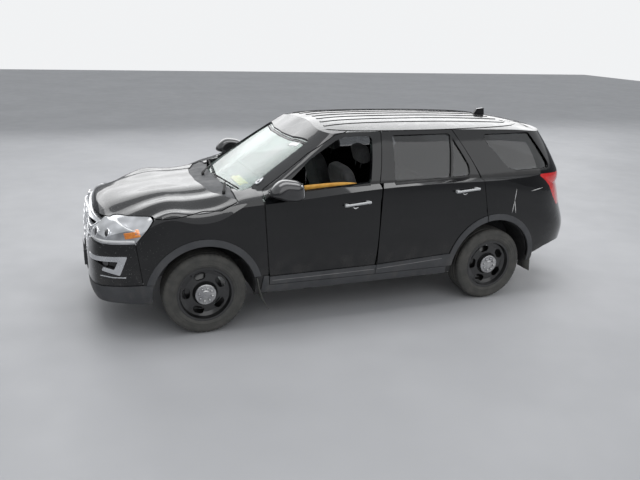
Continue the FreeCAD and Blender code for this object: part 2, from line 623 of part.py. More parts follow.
def handle(x, z):
    """A pull handle that stands off the door skin on two feet and rises towards the rear."""
    along = Vector(-HANDLE_LENGTH, 0, HANDLE_RISE).normalize()
    start = Vector(x, HALF_WIDTH + 20, z)
    grip = Part.makeCylinder(11, HANDLE_LENGTH, start, along)
    for reach in (22, HANDLE_LENGTH - 22):
        at = start + along * reach
        grip = grip.fuse(block(at.x - 16, at.x + 16, 950, HALF_WIDTH + 24, at.z - 11, at.z + 11))
    return one_solid(grip.cut(skin_low))


for place, strip in (("front", front_strip), ("rear", rear_strip)):
    shape = Part.makeCompound([strip, handle(*HANDLES[place])])
    keep("door_trim_%s_left" % place, shape)
    keep("door_trim_%s_right" % place, mirrored(shape))
pair("body_mouldings", Part.makeCompound([one_solid(front_ring), one_solid(body_ring), one_solid(sill)]))
bezel = side_prism(BEZEL, 8, 600, FAR).common(low_hull(-6)).cut(hull)
pair("bumper_bezels", one_solid(bezel))

# Under the skin: floor, bulkhead, front rails, radiator frame and the linings of the wheel arches.
FLOOR = size("floor_height")
FLOOR_TOP = FLOOR + size("floor_thickness")
REAR_FLOOR = 560
TAIL_X = -2330
BULKHEAD_X = 1090
room = one_solid(lower_body(DOOR_DEPTH + 34 + SEAT_GAP))
floor = block(-830, BULKHEAD_X + 40, -FAR, FAR, FLOOR, FLOOR_TOP)
floor = floor.fuse(block(BULKHEAD_X, BULKHEAD_X + 40, -FAR, FAR, FLOOR, 1130))
floor = floor.fuse(block(BULKHEAD_X, 1300, -FAR, FAR, 1100, 1130))
floor = floor.fuse(block(-870, -830, -FAR, FAR, FLOOR, REAR_FLOOR + 40))
floor = floor.fuse(block(TAIL_X, -830, -FAR, FAR, REAR_FLOOR, REAR_FLOOR + 40))
floor = floor.common(room)
rear_house = both_sides(arch_cylinder("rear", 4, 640, FAR))
front_house = both_sides(arch_cylinder("front", 4, 500, FAR))
floor = one_solid(floor.cut([rear_house, front_house]))
RAIL_Y = 400
for y in (-RAIL_Y, RAIL_Y):
    floor = floor.fuse(block(BULKHEAD_X, 2330, y - 35, y + 35, 470, 570))
    floor = floor.fuse(block(TAIL_X - 60, TAIL_X + 300, y - 35, y + 35, 470, REAR_FLOOR))
# The radiator with its frame, the bumper beam, and the stops that the hood rests on.
floor = floor.fuse(block(2290, 2330, -560, 560, 330, 930)).fuse(block(2330, 2420, -620, 620, 480, 500).common(hull))
stops = []
for y in (-1, 1):
    stops.append(Part.makeCylinder(14, 250, Vector(2306, y * 420, 900), Z_AXIS))
    stops.append(Part.makeCylinder(14, 140, Vector(1425, y * 600, 1020), Z_AXIS).fuse(
        block(BULKHEAD_X, 1439, y * 600 - 14, y * 600 + 14, 1000, 1020)))
under_hood = one_solid(lower_body(size("hood_thickness") + SEAT_GAP))
for stop in stops:
    floor = floor.fuse(stop.common(under_hood))
keep("floor_pan", one_solid(floor))


def arch_lining(place, inner_y):
    x, z, radius = ARCHES[place]
    ring = arch_cylinder(place, -SEAT_GAP, inner_y, FAR).cut(arch_cylinder(place, -8, inner_y - 5, FAR))
    wall = arch_cylinder(place, -4, inner_y - 8, inner_y)
    wall = wall.common(block(x - FAR, x + FAR, 0, FAR, AXLE_HEIGHT + 130, FAR))
    lining = ring.fuse(wall).common(block(x - FAR, x + FAR, 0, FAR, 330, FAR))
    return one_solid(lining.common(hull_inside))


hull_inside = low_hull(SKIN + SEAT_GAP)
pair("arch_linings", Part.makeCompound([arch_lining("front", 505), arch_lining("rear", 648)]))


def primitive(kind, name, expressions, base=(0, 0, 0), axis=None, angle=0):
    item = doc.addObject(kind, name)
    for prop, text in expressions.items():
        item.setExpression(prop, text)
    rotation = FreeCAD.Rotation(axis, angle) if axis else FreeCAD.Rotation()
    item.Placement = FreeCAD.Placement(Vector(*base), rotation)
    return item


def node(label, item):
    item.Label = label
    nodes[label] = item
    return item


def profile(body, name, role, points):
    """A closed straight-sided sketch on one of the body's own planes."""
    sketch = body.newObject("Sketcher::SketchObject", name)
    plane = [f for f in body.Origin.OriginFeatures if f.Role == role][0]
    sketch.AttachmentSupport = (plane, [""])
    sketch.MapMode = "FlatFace"
    corners = [Vector(a, b, 0) for a, b in points]
    for here, there in zip(corners, corners[1:] + corners[:1]):
        sketch.addGeometry(Part.LineSegment(here, there), False)
    for i in range(len(corners)):
        sketch.addConstraint(Sketcher.Constraint("Coincident", i, 2, (i + 1) % len(corners), 1))
    return sketch


def revolved(name, points):
    """A body turned about its own X axis from an (x, radius) profile."""
    body = doc.addObject("PartDesign::Body", name)
    sketch = profile(body, name + "_profile", "XY_Plane", points)
    turn = body.newObject("PartDesign::Revolution", name + "_turn")
    turn.Profile = sketch
    turn.ReferenceAxis = (sketch, ["H_Axis"])
    turn.Angle = 360
    doc.recompute()
    return body


TYRE = size("tyre_radius")
TYRE_HALF = size("tyre_width") / 2
RIM = size("rim_radius")
RIM_HALF = size("rim_width") / 2
TREAD_HALF = TYRE_HALF - 20
TYRE_PROFILE = [(-RIM_HALF, RIM), (-TYRE_HALF + 6, RIM + 28), (-TYRE_HALF, RIM + 60), (-TYRE_HALF + 5, TYRE - 34),
                (-TREAD_HALF, TYRE - 8), (-TREAD_HALF + 22, TYRE), (TREAD_HALF - 22, TYRE), (TREAD_HALF, TYRE - 8),
                (TYRE_HALF - 5, TYRE - 34), (TYRE_HALF, RIM + 60), (TYRE_HALF - 6, RIM + 28), (RIM_HALF, RIM)]
CAP = size("hub_cap_radius")
# The wheel's section, x outwards from the middle of the rim: barrel, flanges, disc and cap.
DISC_X = 62
HUB_BACK = 40
WHEEL_PROFILE = [(-RIM_HALF, RIM - 12), (-RIM_HALF, RIM - SEAT_GAP), (RIM_HALF, RIM - SEAT_GAP), (RIM_HALF + 4, RIM + 8),
                 (RIM_HALF + 8, RIM + 8), (RIM_HALF + 6, RIM - 12), (DISC_X + 16, RIM - 26), (DISC_X + 4, RIM - 60),
                 (DISC_X + 12, CAP + 18), (DISC_X + 4, CAP + 2), (DISC_X + 30, CAP - 4), (DISC_X + 42, CAP - 30),
                 (DISC_X + 44, 0), (-HUB_BACK, 0), (-HUB_BACK, 70), (DISC_X - 14, 80), (DISC_X - 8, RIM - 60),
                 (DISC_X, RIM - 36), (DISC_X - 10, RIM - 14)]


def make_wheel(name):
    body = revolved(name, WHEEL_PROFILE)
    slot = body.newObject("Sketcher::SketchObject", name + "_slot")
    plane = [f for f in body.Origin.OriginFeatures if f.Role == "YZ_Plane"][0]
    slot.AttachmentSupport = (plane, [""])
    slot.MapMode = "FlatFace"
    radius = (CAP + RIM) / 2 - 4
    reach = size("slot_length") / 2 - size("slot_width") / 2
    wide = size("slot_width") / 2
    ends = [Vector(-reach, radius, 0), Vector(reach, radius, 0)]
    slot.addGeometry(Part.LineSegment(Vector(-reach, radius + wide, 0), Vector(reach, radius + wide, 0)), False)
    slot.addGeometry(Part.ArcOfCircle(Part.Circle(ends[1], Z_AXIS, wide), -math.pi / 2, math.pi / 2), False)
    slot.addGeometry(Part.LineSegment(Vector(reach, radius - wide, 0), Vector(-reach, radius - wide, 0)), False)
    slot.addGeometry(Part.ArcOfCircle(Part.Circle(ends[0], Z_AXIS, wide), math.pi / 2, math.pi * 1.5), False)
    pocket = body.newObject("PartDesign::Pocket", name + "_pocket")
    pocket.Profile = slot
    pocket.Type = 0
    pocket.Length = 200
    pocket.Midplane = True
    doc.recompute()
    pattern = body.newObject("PartDesign::PolarPattern", name + "_slots")
    pattern.Originals = [pocket]
    axis = [f for f in body.Origin.OriginFeatures if f.Role == "X_Axis"][0]
    pattern.Axis = (axis, [""])
    pattern.Angle = 360
    pattern.Occurrences = 5
    body.Tip = pattern
    doc.recompute()
    return body


WHEELS = {"front_left": (FRONT_AXLE, 1), "front_right": (FRONT_AXLE, -1),
          "rear_left": (REAR_AXLE, 1), "rear_right": (REAR_AXLE, -1)}
for place, (x, side) in WHEELS.items():
    turned = FreeCAD.Rotation(Z_AXIS, 90 * side).multiply(FreeCAD.Rotation(X_AXIS, size("slot_turn")))
    seat = FreeCAD.Placement(Vector(x, side * WHEEL_Y, AXLE_HEIGHT), turned)
    for kind, maker in (("tyre", lambda name: revolved(name, TYRE_PROFILE)), ("wheel", make_wheel)):
        body = maker("%s_%s" % (kind, place))
        body.Placement = seat
        node("%s_%s" % (kind, place), body)

# Knuckles carry the front wheels and turn about the kingpins, between a lower joint and a strut's foot.
KINGPIN_Y = 780
KINGPIN_LOW = AXLE_HEIGHT - 110
KINGPIN_HIGH = AXLE_HEIGHT + 180
HUB_FACE = WHEEL_Y - HUB_BACK - SEAT_GAP
BRAKE_RADIUS = 104
for side, name in ((1, "left"), (-1, "right")):
    hub = Part.makeCylinder(34, HUB_FACE - 735, Vector(FRONT_AXLE, side * 735, AXLE_HEIGHT), Y_AXIS * side)
    kingpin = Part.makeCylinder(24, KINGPIN_HIGH - KINGPIN_LOW, Vector(FRONT_AXLE, side * KINGPIN_Y, KINGPIN_LOW), Z_AXIS)
    disc = Part.makeCylinder(BRAKE_RADIUS, 22, Vector(FRONT_AXLE, side * 782, AXLE_HEIGHT), Y_AXIS * side)
    keep("knuckle_%s" % name, one_solid(hub.fuse([kingpin, disc])))

# Front suspension: cross member, lower arms and struts. Rear: cross member, axle shafts, discs and springs.
STRUT_Y = 672
STRUT_FOOT = KINGPIN_HIGH + SEAT_GAP
STRUT_TOP = ARCHES["front"][1] + ARCHES["front"][2] - 12
front = block(FRONT_AXLE - 110, FRONT_AXLE + 110, -430, 430, 225, 325)
rear = block(REAR_AXLE - 90, REAR_AXLE + 90, -430, 430, 300, 400)
for side in (-1, 1):
    low_joint = Vector(FRONT_AXLE, side * KINGPIN_Y, KINGPIN_LOW - SEAT_GAP - 26)
    front = front.fuse(Part.makeCylinder(28, 26, low_joint, Z_AXIS))
    arm_y = sorted((side * 420, side * KINGPIN_Y))
    front = front.fuse(block(FRONT_AXLE - 24, FRONT_AXLE + 24, arm_y[0], arm_y[1], low_joint.z, low_joint.z + 22))
    strut = Part.makeCylinder(24, STRUT_TOP - STRUT_FOOT, Vector(FRONT_AXLE, side * STRUT_Y, STRUT_FOOT), Z_AXIS)
    spring_foot = STRUT_FOOT + 62
    spring = Part.makeCylinder(60, STRUT_TOP - spring_foot - 40, Vector(FRONT_AXLE, side * (STRUT_Y - 38), spring_foot), Z_AXIS)
    foot_y = sorted((side * STRUT_Y, side * KINGPIN_Y))
    foot = block(FRONT_AXLE - 24, FRONT_AXLE + 24, foot_y[0], foot_y[1], STRUT_FOOT, STRUT_FOOT + 20)
    foot = foot.fuse(Part.makeCylinder(24, 20, Vector(FRONT_AXLE, side * KINGPIN_Y, STRUT_FOOT), Z_AXIS))
    front = front.fuse([strut, spring, foot])
    front = front.fuse(block(FRONT_AXLE - 35, FRONT_AXLE + 35, side * RAIL_Y - 35, side * RAIL_Y + 35, 320, 470 - SEAT_GAP))
    rear = rear.fuse(Part.makeCylinder(30, HUB_FACE - 400, Vector(REAR_AXLE, side * 400, AXLE_HEIGHT), Y_AXIS * side))
    rear = rear.fuse(Part.makeCylinder(BRAKE_RADIUS, 22, Vector(REAR_AXLE, side * 782, AXLE_HEIGHT), Y_AXIS * side))
    rear = rear.fuse(Part.makeCylinder(50, REAR_FLOOR - SEAT_GAP - 400, Vector(REAR_AXLE, side * 380, 400), Z_AXIS))
keep("front_suspension", Part.makeCompound(front.Solids))
keep("rear_suspension", one_solid(rear))

# Engine block between the rails, resting on the front cross member.
engine = primitive("Part::Box", "engine_block", {"Length": "dims.engine_length", "Width": "dims.engine_width",
                                                 "Height": "dims.engine_height"})
engine.setExpression("Placement.Base.x", "dims.overall_length / 2 - dims.front_overhang - dims.engine_length / 2 + 120")
engine.setExpression("Placement.Base.y", "-dims.engine_width / 2")
engine.setExpression("Placement.Base.z", "dims.engine_foot")
node("engine_block", engine)

# Seats, dashboard and steering wheel.
SEAT_W = size("seat_width")
SEAT_D = size("seat_depth")
SEAT_Z = size("seat_height")
SEAT_Y = SEAT_W / 2 + size("seat_gap") / 2


def seat_form(x, y, width, depth, height, rest):
    """A seat's side outline carried across its width: base, cushion, backrest and headrest."""
    low = FLOOR_TOP + SEAT_GAP
    outline = [(x + depth, low), (x + depth, height), (x + 130, height - 30), (x - 40, height + rest),
               (x - 60, height + rest + 190), (x - 160, height + rest + 190), (x - 170, height + rest), (x, low)]
    return side_prism(outline, 45, y - width / 2, y + width / 2)


pair("front_seats", seat_form(60, SEAT_Y, SEAT_W, SEAT_D, SEAT_Z, 560))
keep("rear_seat", side_prism([(-300, FLOOR_TOP + SEAT_GAP), (-300, 660), (-720, 640), (-790, 1190), (-824, 1190),
                              (-824, FLOOR_TOP + SEAT_GAP)], 30, -640, 640))
dash = side_prism([(1086, 780), (1086, 1092), (960, 1172), (815, 1150), (752, 1050), (770, 880), (900, 780)], 30, -840, 840)
dash = dash.common(room).cut(block(-FAR, FAR, -FAR, FAR, 1178, FAR))
STEER_AT = Vector(640, SEAT_Y, 990)
tilt = math.radians(size("column_tilt"))
column_way = Vector(math.cos(tilt), 0, -math.sin(tilt))
column = Part.makeCylinder(38, 220, STEER_AT + column_way * (60 + SEAT_GAP), column_way)
keep("dashboard", one_solid(one_solid(dash).fuse(column)))

wheel_tilt = size("column_tilt")
ring = primitive("Part::Torus", "steering_ring", {"Radius1": "dims.steering_wheel_radius", "Radius2": "dims.steering_rim"})
hub = primitive("Part::Cylinder", "steering_hub", {"Radius": "dims.steering_rim * 3"}, (0, 0, -60))
hub.Height = 80
spokes = []
for i, angle in enumerate((0, 120, 240)):
    spoke = doc.addObject("Part::Box", "steering_spoke_%d" % i)
    spoke.Length, spoke.Width, spoke.Height = size("steering_wheel_radius"), 30, 14
    turn = FreeCAD.Rotation(Z_AXIS, angle)
    spoke.Placement = FreeCAD.Placement(turn.multVec(Vector(0, -15, -7)), turn)
    spokes.append(spoke)
steering = doc.addObject("Part::MultiFuse", "steering_wheel")
steering.Shapes = [ring, hub] + spokes
steering.Placement = FreeCAD.Placement(STEER_AT, FreeCAD.Rotation(Y_AXIS, -(90 - wheel_tilt)))
node("steering_wheel", steering)

# Mirrors on the front doors.
MIRROR_OUTER = size("mirror_span") / 2
MIRROR_FORM = [(1037, 1242), (1004, 1304), (934, 1352), (842, 1350), (784, 1335), (745, 1300), (738, 1262), (745, 1190),
               (790, 1170), (842, 1167), (920, 1180), (984, 1203)]
MIRROR_MIDDLE = (884, 1258)
# Sections of the mirror's housing: distance in from its outer end, and size.
MIRROR_SECTIONS = [(0, 0.34), (8, 0.6), (34, 0.86), (76, 1.0), (126, 0.97), (156, 0.82), (168, 0.55)]
rows = []
for back, share in MIRROR_SECTIONS:
    rows.append([Vector(MIRROR_MIDDLE[0] + (x - MIRROR_MIDDLE[0]) * share, MIRROR_OUTER - back,
                        MIRROR_MIDDLE[1] + (z - MIRROR_MIDDLE[1]) * share) for x, z in MIRROR_FORM])
shell = loft(rows)
foot = plan_prism([(1010, 880), (1010, 930), (960, 1010), (880, 1010), (900, 930), (930, 880)], 12, 1196, 1232)
mirror = one_solid(shell.fuse(foot).cut(outer))
keep("mirror_left", mirror)
keep("mirror_right", mirrored(mirror))

# Grille with its frame and bars, bezels round the lamps in the bumper, number plate bracket.
grille = nose_skin.common(grille_zone.common(block(0, FAR, -FAR, FAR, 0, 967)))
GRILLE_SLOTS = [(690, 500), (746, 518), (802, 534), (858, 540), (914, 532)]
SLOT_HEIGHT = 34
for z, half in GRILLE_SLOTS:
    for y0, y1 in ((-half, -96), (96, half)) if z in (802, 858) else ((-half, half),):
        slot = end_prism([(y0, z), (y1, z), (y1, z + SLOT_HEIGHT), (y0, z + SLOT_HEIGHT)], 12, 2300, FAR)
        grille = grille.cut(slot)
grille = one_solid(grille)
keep("grille", grille)
bracket = block(2440, HALF_LENGTH, -size("plate_width") / 2, size("plate_width") / 2, 445, 445 + size("plate_height"))
keep("plate_bracket", one_solid(bracket.cut([hull] + plate_holes)))

# Mud flaps hang behind the front and rear wheels.
FLAP = 8
front_flap = block(1085, 1085 + FLAP, 800, 968, 172, 300 - SEAT_GAP)
rear_flap_x = -1829
rear_flap = block(rear_flap_x, rear_flap_x + FLAP, 790, 968, 250, 434)
pair("mud_flaps", Part.makeCompound([front_flap, rear_flap]))

# Exhaust: pipe, silencer and tail pipe, hung from the floor by two rods.
EXHAUST_Y = -450
exhaust = Part.makeCylinder(28, 2000, Vector(-1760, EXHAUST_Y, 250), X_AXIS)
exhaust = exhaust.fuse(Part.makeCylinder(92, 480, Vector(-2230, EXHAUST_Y, 330), X_AXIS))
exhaust = exhaust.fuse(Part.makeCylinder(34, 220, Vector(-2420, EXHAUST_Y, 380), X_AXIS))
for x in (-2100, -1860):
    exhaust = exhaust.fuse(Part.makeCylinder(6, REAR_FLOOR - SEAT_GAP - 400, Vector(x, EXHAUST_Y, 400), Z_AXIS))
keep("exhaust", one_solid(exhaust))

# Wipers: pivot, arm and blade for each side, lying at the foot of the windscreen.
WIPERS = [((1335, 640), (1262, 330), (1204, 640), (1288, 40)), ((1380, -60), (1296, -330), (1286, -20), (1206, -640))]


def wiper(pivot, middle, near, far):
    """An arm from its pivot to the middle of a blade that lies along the glass."""
    low = 1172
    post = Part.makeCylinder(13, 118, Vector(pivot[0], pivot[1], low - 100), Z_AXIS)
    post = post.cut(skin_low.translated(Vector(0, 0, SEAT_GAP - COWL_DROP)))
    reach = Vector(middle[0] - pivot[0], middle[1] - pivot[1], 22)
    arm = Part.makeCylinder(6, reach.Length, Vector(pivot[0], pivot[1], low + 8), reach)
    run = Vector(far[0] - near[0], far[1] - near[1], 0)
    blade = Part.makeCylinder(7, run.Length, Vector(near[0], near[1], low + 30), run)
    return one_solid(post.fuse([arm, blade]))


keep("wipers", Part.makeCompound([wiper(*places) for places in WIPERS]))

doc.recompute()
for item in doc.Objects:
    if "Invalid" in item.State or "Error" in item.State:
        raise RuntimeError("%s failed to compute" % item.Label)
os.makedirs("parts", exist_ok=True)
for label, item in nodes.items():
    shape = item.Shape
    if shape.isNull() or not shape.isValid() or not shape.Solids:
        raise RuntimeError("%s has no valid shape" % label)
    shape.exportStep("parts/" + label + ".step")
    print(label, len(shape.Solids), round(shape.Volume / 1e6, 2))
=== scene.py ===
"""A police patrol car on a pale studio floor: finishes, lamps, trim, seats and the photograph's camera."""
import math

import bmesh
import bpy
from mathutils import Matrix, Vector
from mathutils.bvhtree import BVHTree


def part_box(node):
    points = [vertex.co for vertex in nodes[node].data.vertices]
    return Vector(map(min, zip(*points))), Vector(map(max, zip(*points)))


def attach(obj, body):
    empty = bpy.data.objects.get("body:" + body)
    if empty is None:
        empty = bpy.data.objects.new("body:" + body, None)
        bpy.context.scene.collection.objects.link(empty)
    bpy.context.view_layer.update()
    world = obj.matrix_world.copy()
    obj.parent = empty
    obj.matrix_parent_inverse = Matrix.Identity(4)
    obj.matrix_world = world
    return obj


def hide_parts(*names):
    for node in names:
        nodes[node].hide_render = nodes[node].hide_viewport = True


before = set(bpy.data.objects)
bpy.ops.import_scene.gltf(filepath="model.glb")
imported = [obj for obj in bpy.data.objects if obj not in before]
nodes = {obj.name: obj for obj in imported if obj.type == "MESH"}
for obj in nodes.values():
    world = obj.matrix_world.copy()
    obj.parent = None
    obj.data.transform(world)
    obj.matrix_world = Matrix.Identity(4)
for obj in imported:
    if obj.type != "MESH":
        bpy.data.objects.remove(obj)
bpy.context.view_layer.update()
scene = bpy.context.scene

# The photograph's camera, in metres, and its principal point in the 640 x 480 frame.
CAMERA_PLACE = Vector((2.5847, 6.2033, 2.6030))
CAMERA_YAW = -0.3732
CAMERA_PITCH = 0.3155
CAMERA_ROLL = 0.0365
LENS_MM = 37.27
SENSOR_MM = 36.0
PHOTO_WIDTH = 640
MIDDLE_SHIFT = (0.83, -0.37)


def add_camera():
    flat = math.cos(CAMERA_PITCH)
    look = Vector((math.sin(CAMERA_YAW) * flat, -math.cos(CAMERA_YAW) * flat, -math.sin(CAMERA_PITCH)))
    level = Vector((-math.cos(CAMERA_YAW), -math.sin(CAMERA_YAW), 0))
    upright = level.cross(look)
    right = level * math.cos(CAMERA_ROLL) + upright * math.sin(CAMERA_ROLL)
    up = upright * math.cos(CAMERA_ROLL) - level * math.sin(CAMERA_ROLL)
    data = bpy.data.cameras.new("photo_camera")
    data.lens = LENS_MM
    data.sensor_width = SENSOR_MM
    data.shift_x = -MIDDLE_SHIFT[0] / PHOTO_WIDTH
    data.shift_y = -MIDDLE_SHIFT[1] / PHOTO_WIDTH
    camera = bpy.data.objects.new("photo_camera", data)
    scene.collection.objects.link(camera)
    rows = Matrix((right, up, -look)).transposed().to_4x4()
    camera.matrix_world = Matrix.Translation(CAMERA_PLACE) @ rows
    scene.camera = camera


# Finishes


class Finish:
    """A node material whose colour, roughness and surface come from noise in object space."""

    def __init__(self, name, color, rough, metal=0.0, coat=0.0, ior=1.5, clear=0.0):
        self.material = bpy.data.materials.new(name)
        self.material.use_nodes = True
        self.tree = self.material.node_tree
        self.shader = self.tree.nodes["Principled BSDF"]
        self.color = color
        self.rough = rough
        values = {"Base Color": (*color, 1), "Roughness": rough, "Metallic": metal, "Coat Weight": coat,
                  "Coat Roughness": 0.03, "IOR": ior, "Transmission Weight": clear}
        for socket, value in values.items():
            self.shader.inputs[socket].default_value = value
        self.place = self.add("ShaderNodeTexCoord").outputs["Object"]
        self.base = None

    def add(self, kind, **settings):
        node = self.tree.nodes.new(kind)
        for key, value in settings.items():
            setattr(node, key, value)
        return node

    def link(self, source, target):
        self.tree.links.new(source, target)

    def noise(self, scale, detail=3.0, stretch=None):
        node = self.add("ShaderNodeTexNoise")
        node.inputs["Scale"].default_value = scale
        node.inputs["Detail"].default_value = detail
        source = self.place
        if stretch:
            mapping = self.add("ShaderNodeMapping")
            mapping.inputs["Scale"].default_value = stretch
            self.link(source, mapping.inputs["Vector"])
            source = mapping.outputs["Vector"]
        self.link(source, node.inputs["Vector"])
        return node.outputs["Fac"]

    def ramp(self, source, low, high, start=0.0, end=1.0):
        """The source's range from low to high, mapped to the range from start to end."""
        node = self.add("ShaderNodeMapRange", clamp=True)
        node.inputs["From Min"].default_value = low
        node.inputs["From Max"].default_value = high
        node.inputs["To Min"].default_value = start
        node.inputs["To Max"].default_value = end
        self.link(source, node.inputs["Value"])
        return node.outputs["Result"]

    def math(self, operation, a, b):
        node = self.add("ShaderNodeMath", operation=operation)
        for socket, value in zip(node.inputs, (a, b)):
            if isinstance(value, (int, float)):
                socket.default_value = value
            else:
                self.link(value, socket)
        return node.outputs[0]

    def axis(self, letter):
        node = self.add("ShaderNodeSeparateXYZ")
        self.link(self.place, node.inputs[0])
        return node.outputs[letter]

    def mix(self, share, color):
        """Lays another colour over the base by a share."""
        node = self.add("ShaderNodeMix", data_type="RGBA")
        if self.base is None:
            node.inputs["A"].default_value = (*self.color, 1)
        else:
            self.link(self.base, node.inputs["A"])
        node.inputs["B"].default_value = (*color, 1)
        self.link(share, node.inputs["Factor"])
        self.base = node.outputs["Result"]
        self.link(self.base, self.shader.inputs["Base Color"])
        return self

    def vary(self, scale, other, low=0.35, high=0.65):
        return self.mix(self.ramp(self.noise(scale), low, high), other)

    def worn(self, scale, low, high):
        """Roughness between two values by noise."""
        self.link(self.ramp(self.noise(scale, 5.0), 0.3, 0.7, low, high), self.shader.inputs["Roughness"])
        return self

    def bump(self, source, height, strength=0.5):
        node = self.add("ShaderNodeBump")
        node.inputs["Distance"].default_value = height
        node.inputs["Strength"].default_value = strength
        self.link(source, node.inputs["Height"])
        if self.shader.inputs["Normal"].links:
            self.link(self.shader.inputs["Normal"].links[0].from_socket, node.inputs["Normal"])
        self.link(node.outputs["Normal"], self.shader.inputs["Normal"])
        return self

    def grain(self, scale, height, strength=0.5):
        return self.bump(self.noise(scale, 2.0), height, strength)


# How far a plain finish's roughness wanders to either side.
WEAR = 0.08


def paint_finish():
    """Gloss black with stone chips on the nose and road dust low down."""
    paint = Finish("gloss_black_paint", (0.002, 0.0022, 0.0028), 0.32, coat=1.0)
    paint.shader.inputs["Specular IOR Level"].default_value = 0.05
    paint.shader.inputs["Coat Roughness"].default_value = 0.06
    paint.vary(2.2, (0.0035, 0.0037, 0.0044))
    chips = paint.ramp(paint.noise(150, 1.0), 0.735, 0.75)
    nose = paint.ramp(paint.axis("X"), 1.7, 2.5)
    paint.mix(paint.math("MULTIPLY", chips, nose), (0.42, 0.42, 0.41))
    dust = paint.ramp(paint.axis("Z"), 0.75, 0.35, 0.0, 0.35)
    paint.mix(paint.math("MULTIPLY", dust, paint.ramp(paint.noise(9, 6.0), 0.4, 0.75)), (0.09, 0.085, 0.078))
    paint.worn(6, 0.22, 0.42)
    paint.grain(900, 0.00004, 0.15)
    return paint.material


# The doors' trim turns to the handles' light grey above this height.
HANDLE_FOOT = 0.97


def trim_finish(name, handles=False):
    """Matte grey plastic with dust toward the ground; the doors' trim has light handles."""
    trim = Finish(name, (0.048, 0.05, 0.054), 0.6)
    trim.vary(5, (0.064, 0.066, 0.07))
    dust = trim.ramp(trim.noise(14, 6.0, (1, 1, 0.4)), 0.5, 0.75, 0.0, 0.45)
    trim.mix(trim.math("MULTIPLY", dust, trim.ramp(trim.axis("Z"), 0.9, 0.3)), (0.11, 0.105, 0.098))
    if handles:
        trim.mix(trim.ramp(trim.axis("Z"), HANDLE_FOOT, HANDLE_FOOT + 0.01), (0.46, 0.47, 0.48))
        high = trim.ramp(trim.axis("Z"), HANDLE_FOOT, HANDLE_FOOT + 0.01, 0.62, 0.3)
        trim.link(high, trim.shader.inputs["Roughness"])
    else:
        trim.worn(12, 0.52, 0.7)
    trim.grain(1400, 0.00025, 0.5)
    return trim.material


def glass_finish(name, color, ior=1.45):
    """Tinted clear glass with a thin uneven film."""
    glass = Finish(name, color, 0.0, ior=ior, clear=1.0)
    film = glass.ramp(glass.noise(3.5, 6.0), 0.35, 0.8, 0.0, 0.05)
    glass.link(film, glass.shader.inputs["Roughness"])
    return glass.material


def tail_lamp_finish():
    """Red plastic over level ribs."""
    lamp = Finish("tail_lamp_red", (0.8, 0.012, 0.016), 0.12, coat=1.0)
    lamp.vary(30, (0.62, 0.008, 0.01))
    ribs = lamp.add("ShaderNodeTexWave", wave_type="BANDS", bands_direction="Z")
    ribs.inputs["Scale"].default_value = 22
    lamp.link(lamp.place, ribs.inputs["Vector"])
    lamp.mix(lamp.ramp(ribs.outputs["Fac"], 0.75, 1.0, 0.0, 0.6), (0.8, 0.05, 0.03))
    lamp.bump(ribs.outputs["Fac"], 0.001, 0.35)
    return lamp.material


def head_lamp_finish():
    """A bright reflector of soft cells under a clear coat."""
    lamp = Finish("head_lamp_lens", (0.55, 0.56, 0.58), 0.2, metal=0.55, coat=1.0)
    cells = lamp.add("ShaderNodeTexVoronoi", feature="SMOOTH_F1")
    cells.inputs["Scale"].default_value = 13
    lamp.link(lamp.place, cells.inputs["Vector"])
    lamp.mix(lamp.ramp(cells.outputs["Distance"], 0.25, 0.75, 0.0, 0.6), (0.16, 0.165, 0.17))
    lamp.bump(cells.outputs["Distance"], 0.004, 0.12)
    lamp.worn(6, 0.12, 0.22)
    return lamp.material


def windscreen_finish():
    """Clear green glass with a pale film of dust that catches the light."""
    screen = Finish("windscreen_glass", (0.7, 0.86, 0.8), 0.02, ior=1.55, clear=0.9)
    screen.vary(2.5, (0.8, 0.88, 0.85))
    screen.worn(3, 0.0, 0.05)
    return screen.material


def plain_finish(name, color, other, rough, metal=0.0, coat=0.0, scale=12, grain=700, height=0.0001):
    """Two close colours and a wandering roughness, with a fine grain unless that is 0."""
    finish = Finish(name, color, rough, metal=metal, coat=coat)
    finish.vary(scale, other)
    finish.worn(scale * 1.7, max(0.02, rough - WEAR), min(1, rough + WEAR))
    if grain:
        finish.grain(grain, height, 0.4)
    return finish.material


def cloth_finish(name, color, other):
    """A coarse woven cloth: fine bands along three directions give its threads, with sheen."""
    cloth = Finish(name, color, 0.85)
    cloth.shader.inputs["Sheen Weight"].default_value = 0.35
    cloth.shader.inputs["Sheen Roughness"].default_value = 0.4
    cloth.vary(30, other)
    threads = []
    for direction in ("X", "Z", "Y"):
        wave = cloth.add("ShaderNodeTexWave", wave_type="BANDS", bands_direction=direction)
        wave.inputs["Scale"].default_value = 130
        wave.inputs["Distortion"].default_value = 1.5
        cloth.link(cloth.place, wave.inputs["Vector"])
        threads.append(wave.outputs["Fac"])
    weave = cloth.math("MAXIMUM", cloth.math("MULTIPLY", threads[0], threads[2]), threads[1])
    cloth.mix(cloth.ramp(weave, 0.2, 0.9, 0.0, 0.5), other)
    cloth.bump(weave, 0.0006, 0.5)
    return cloth.material


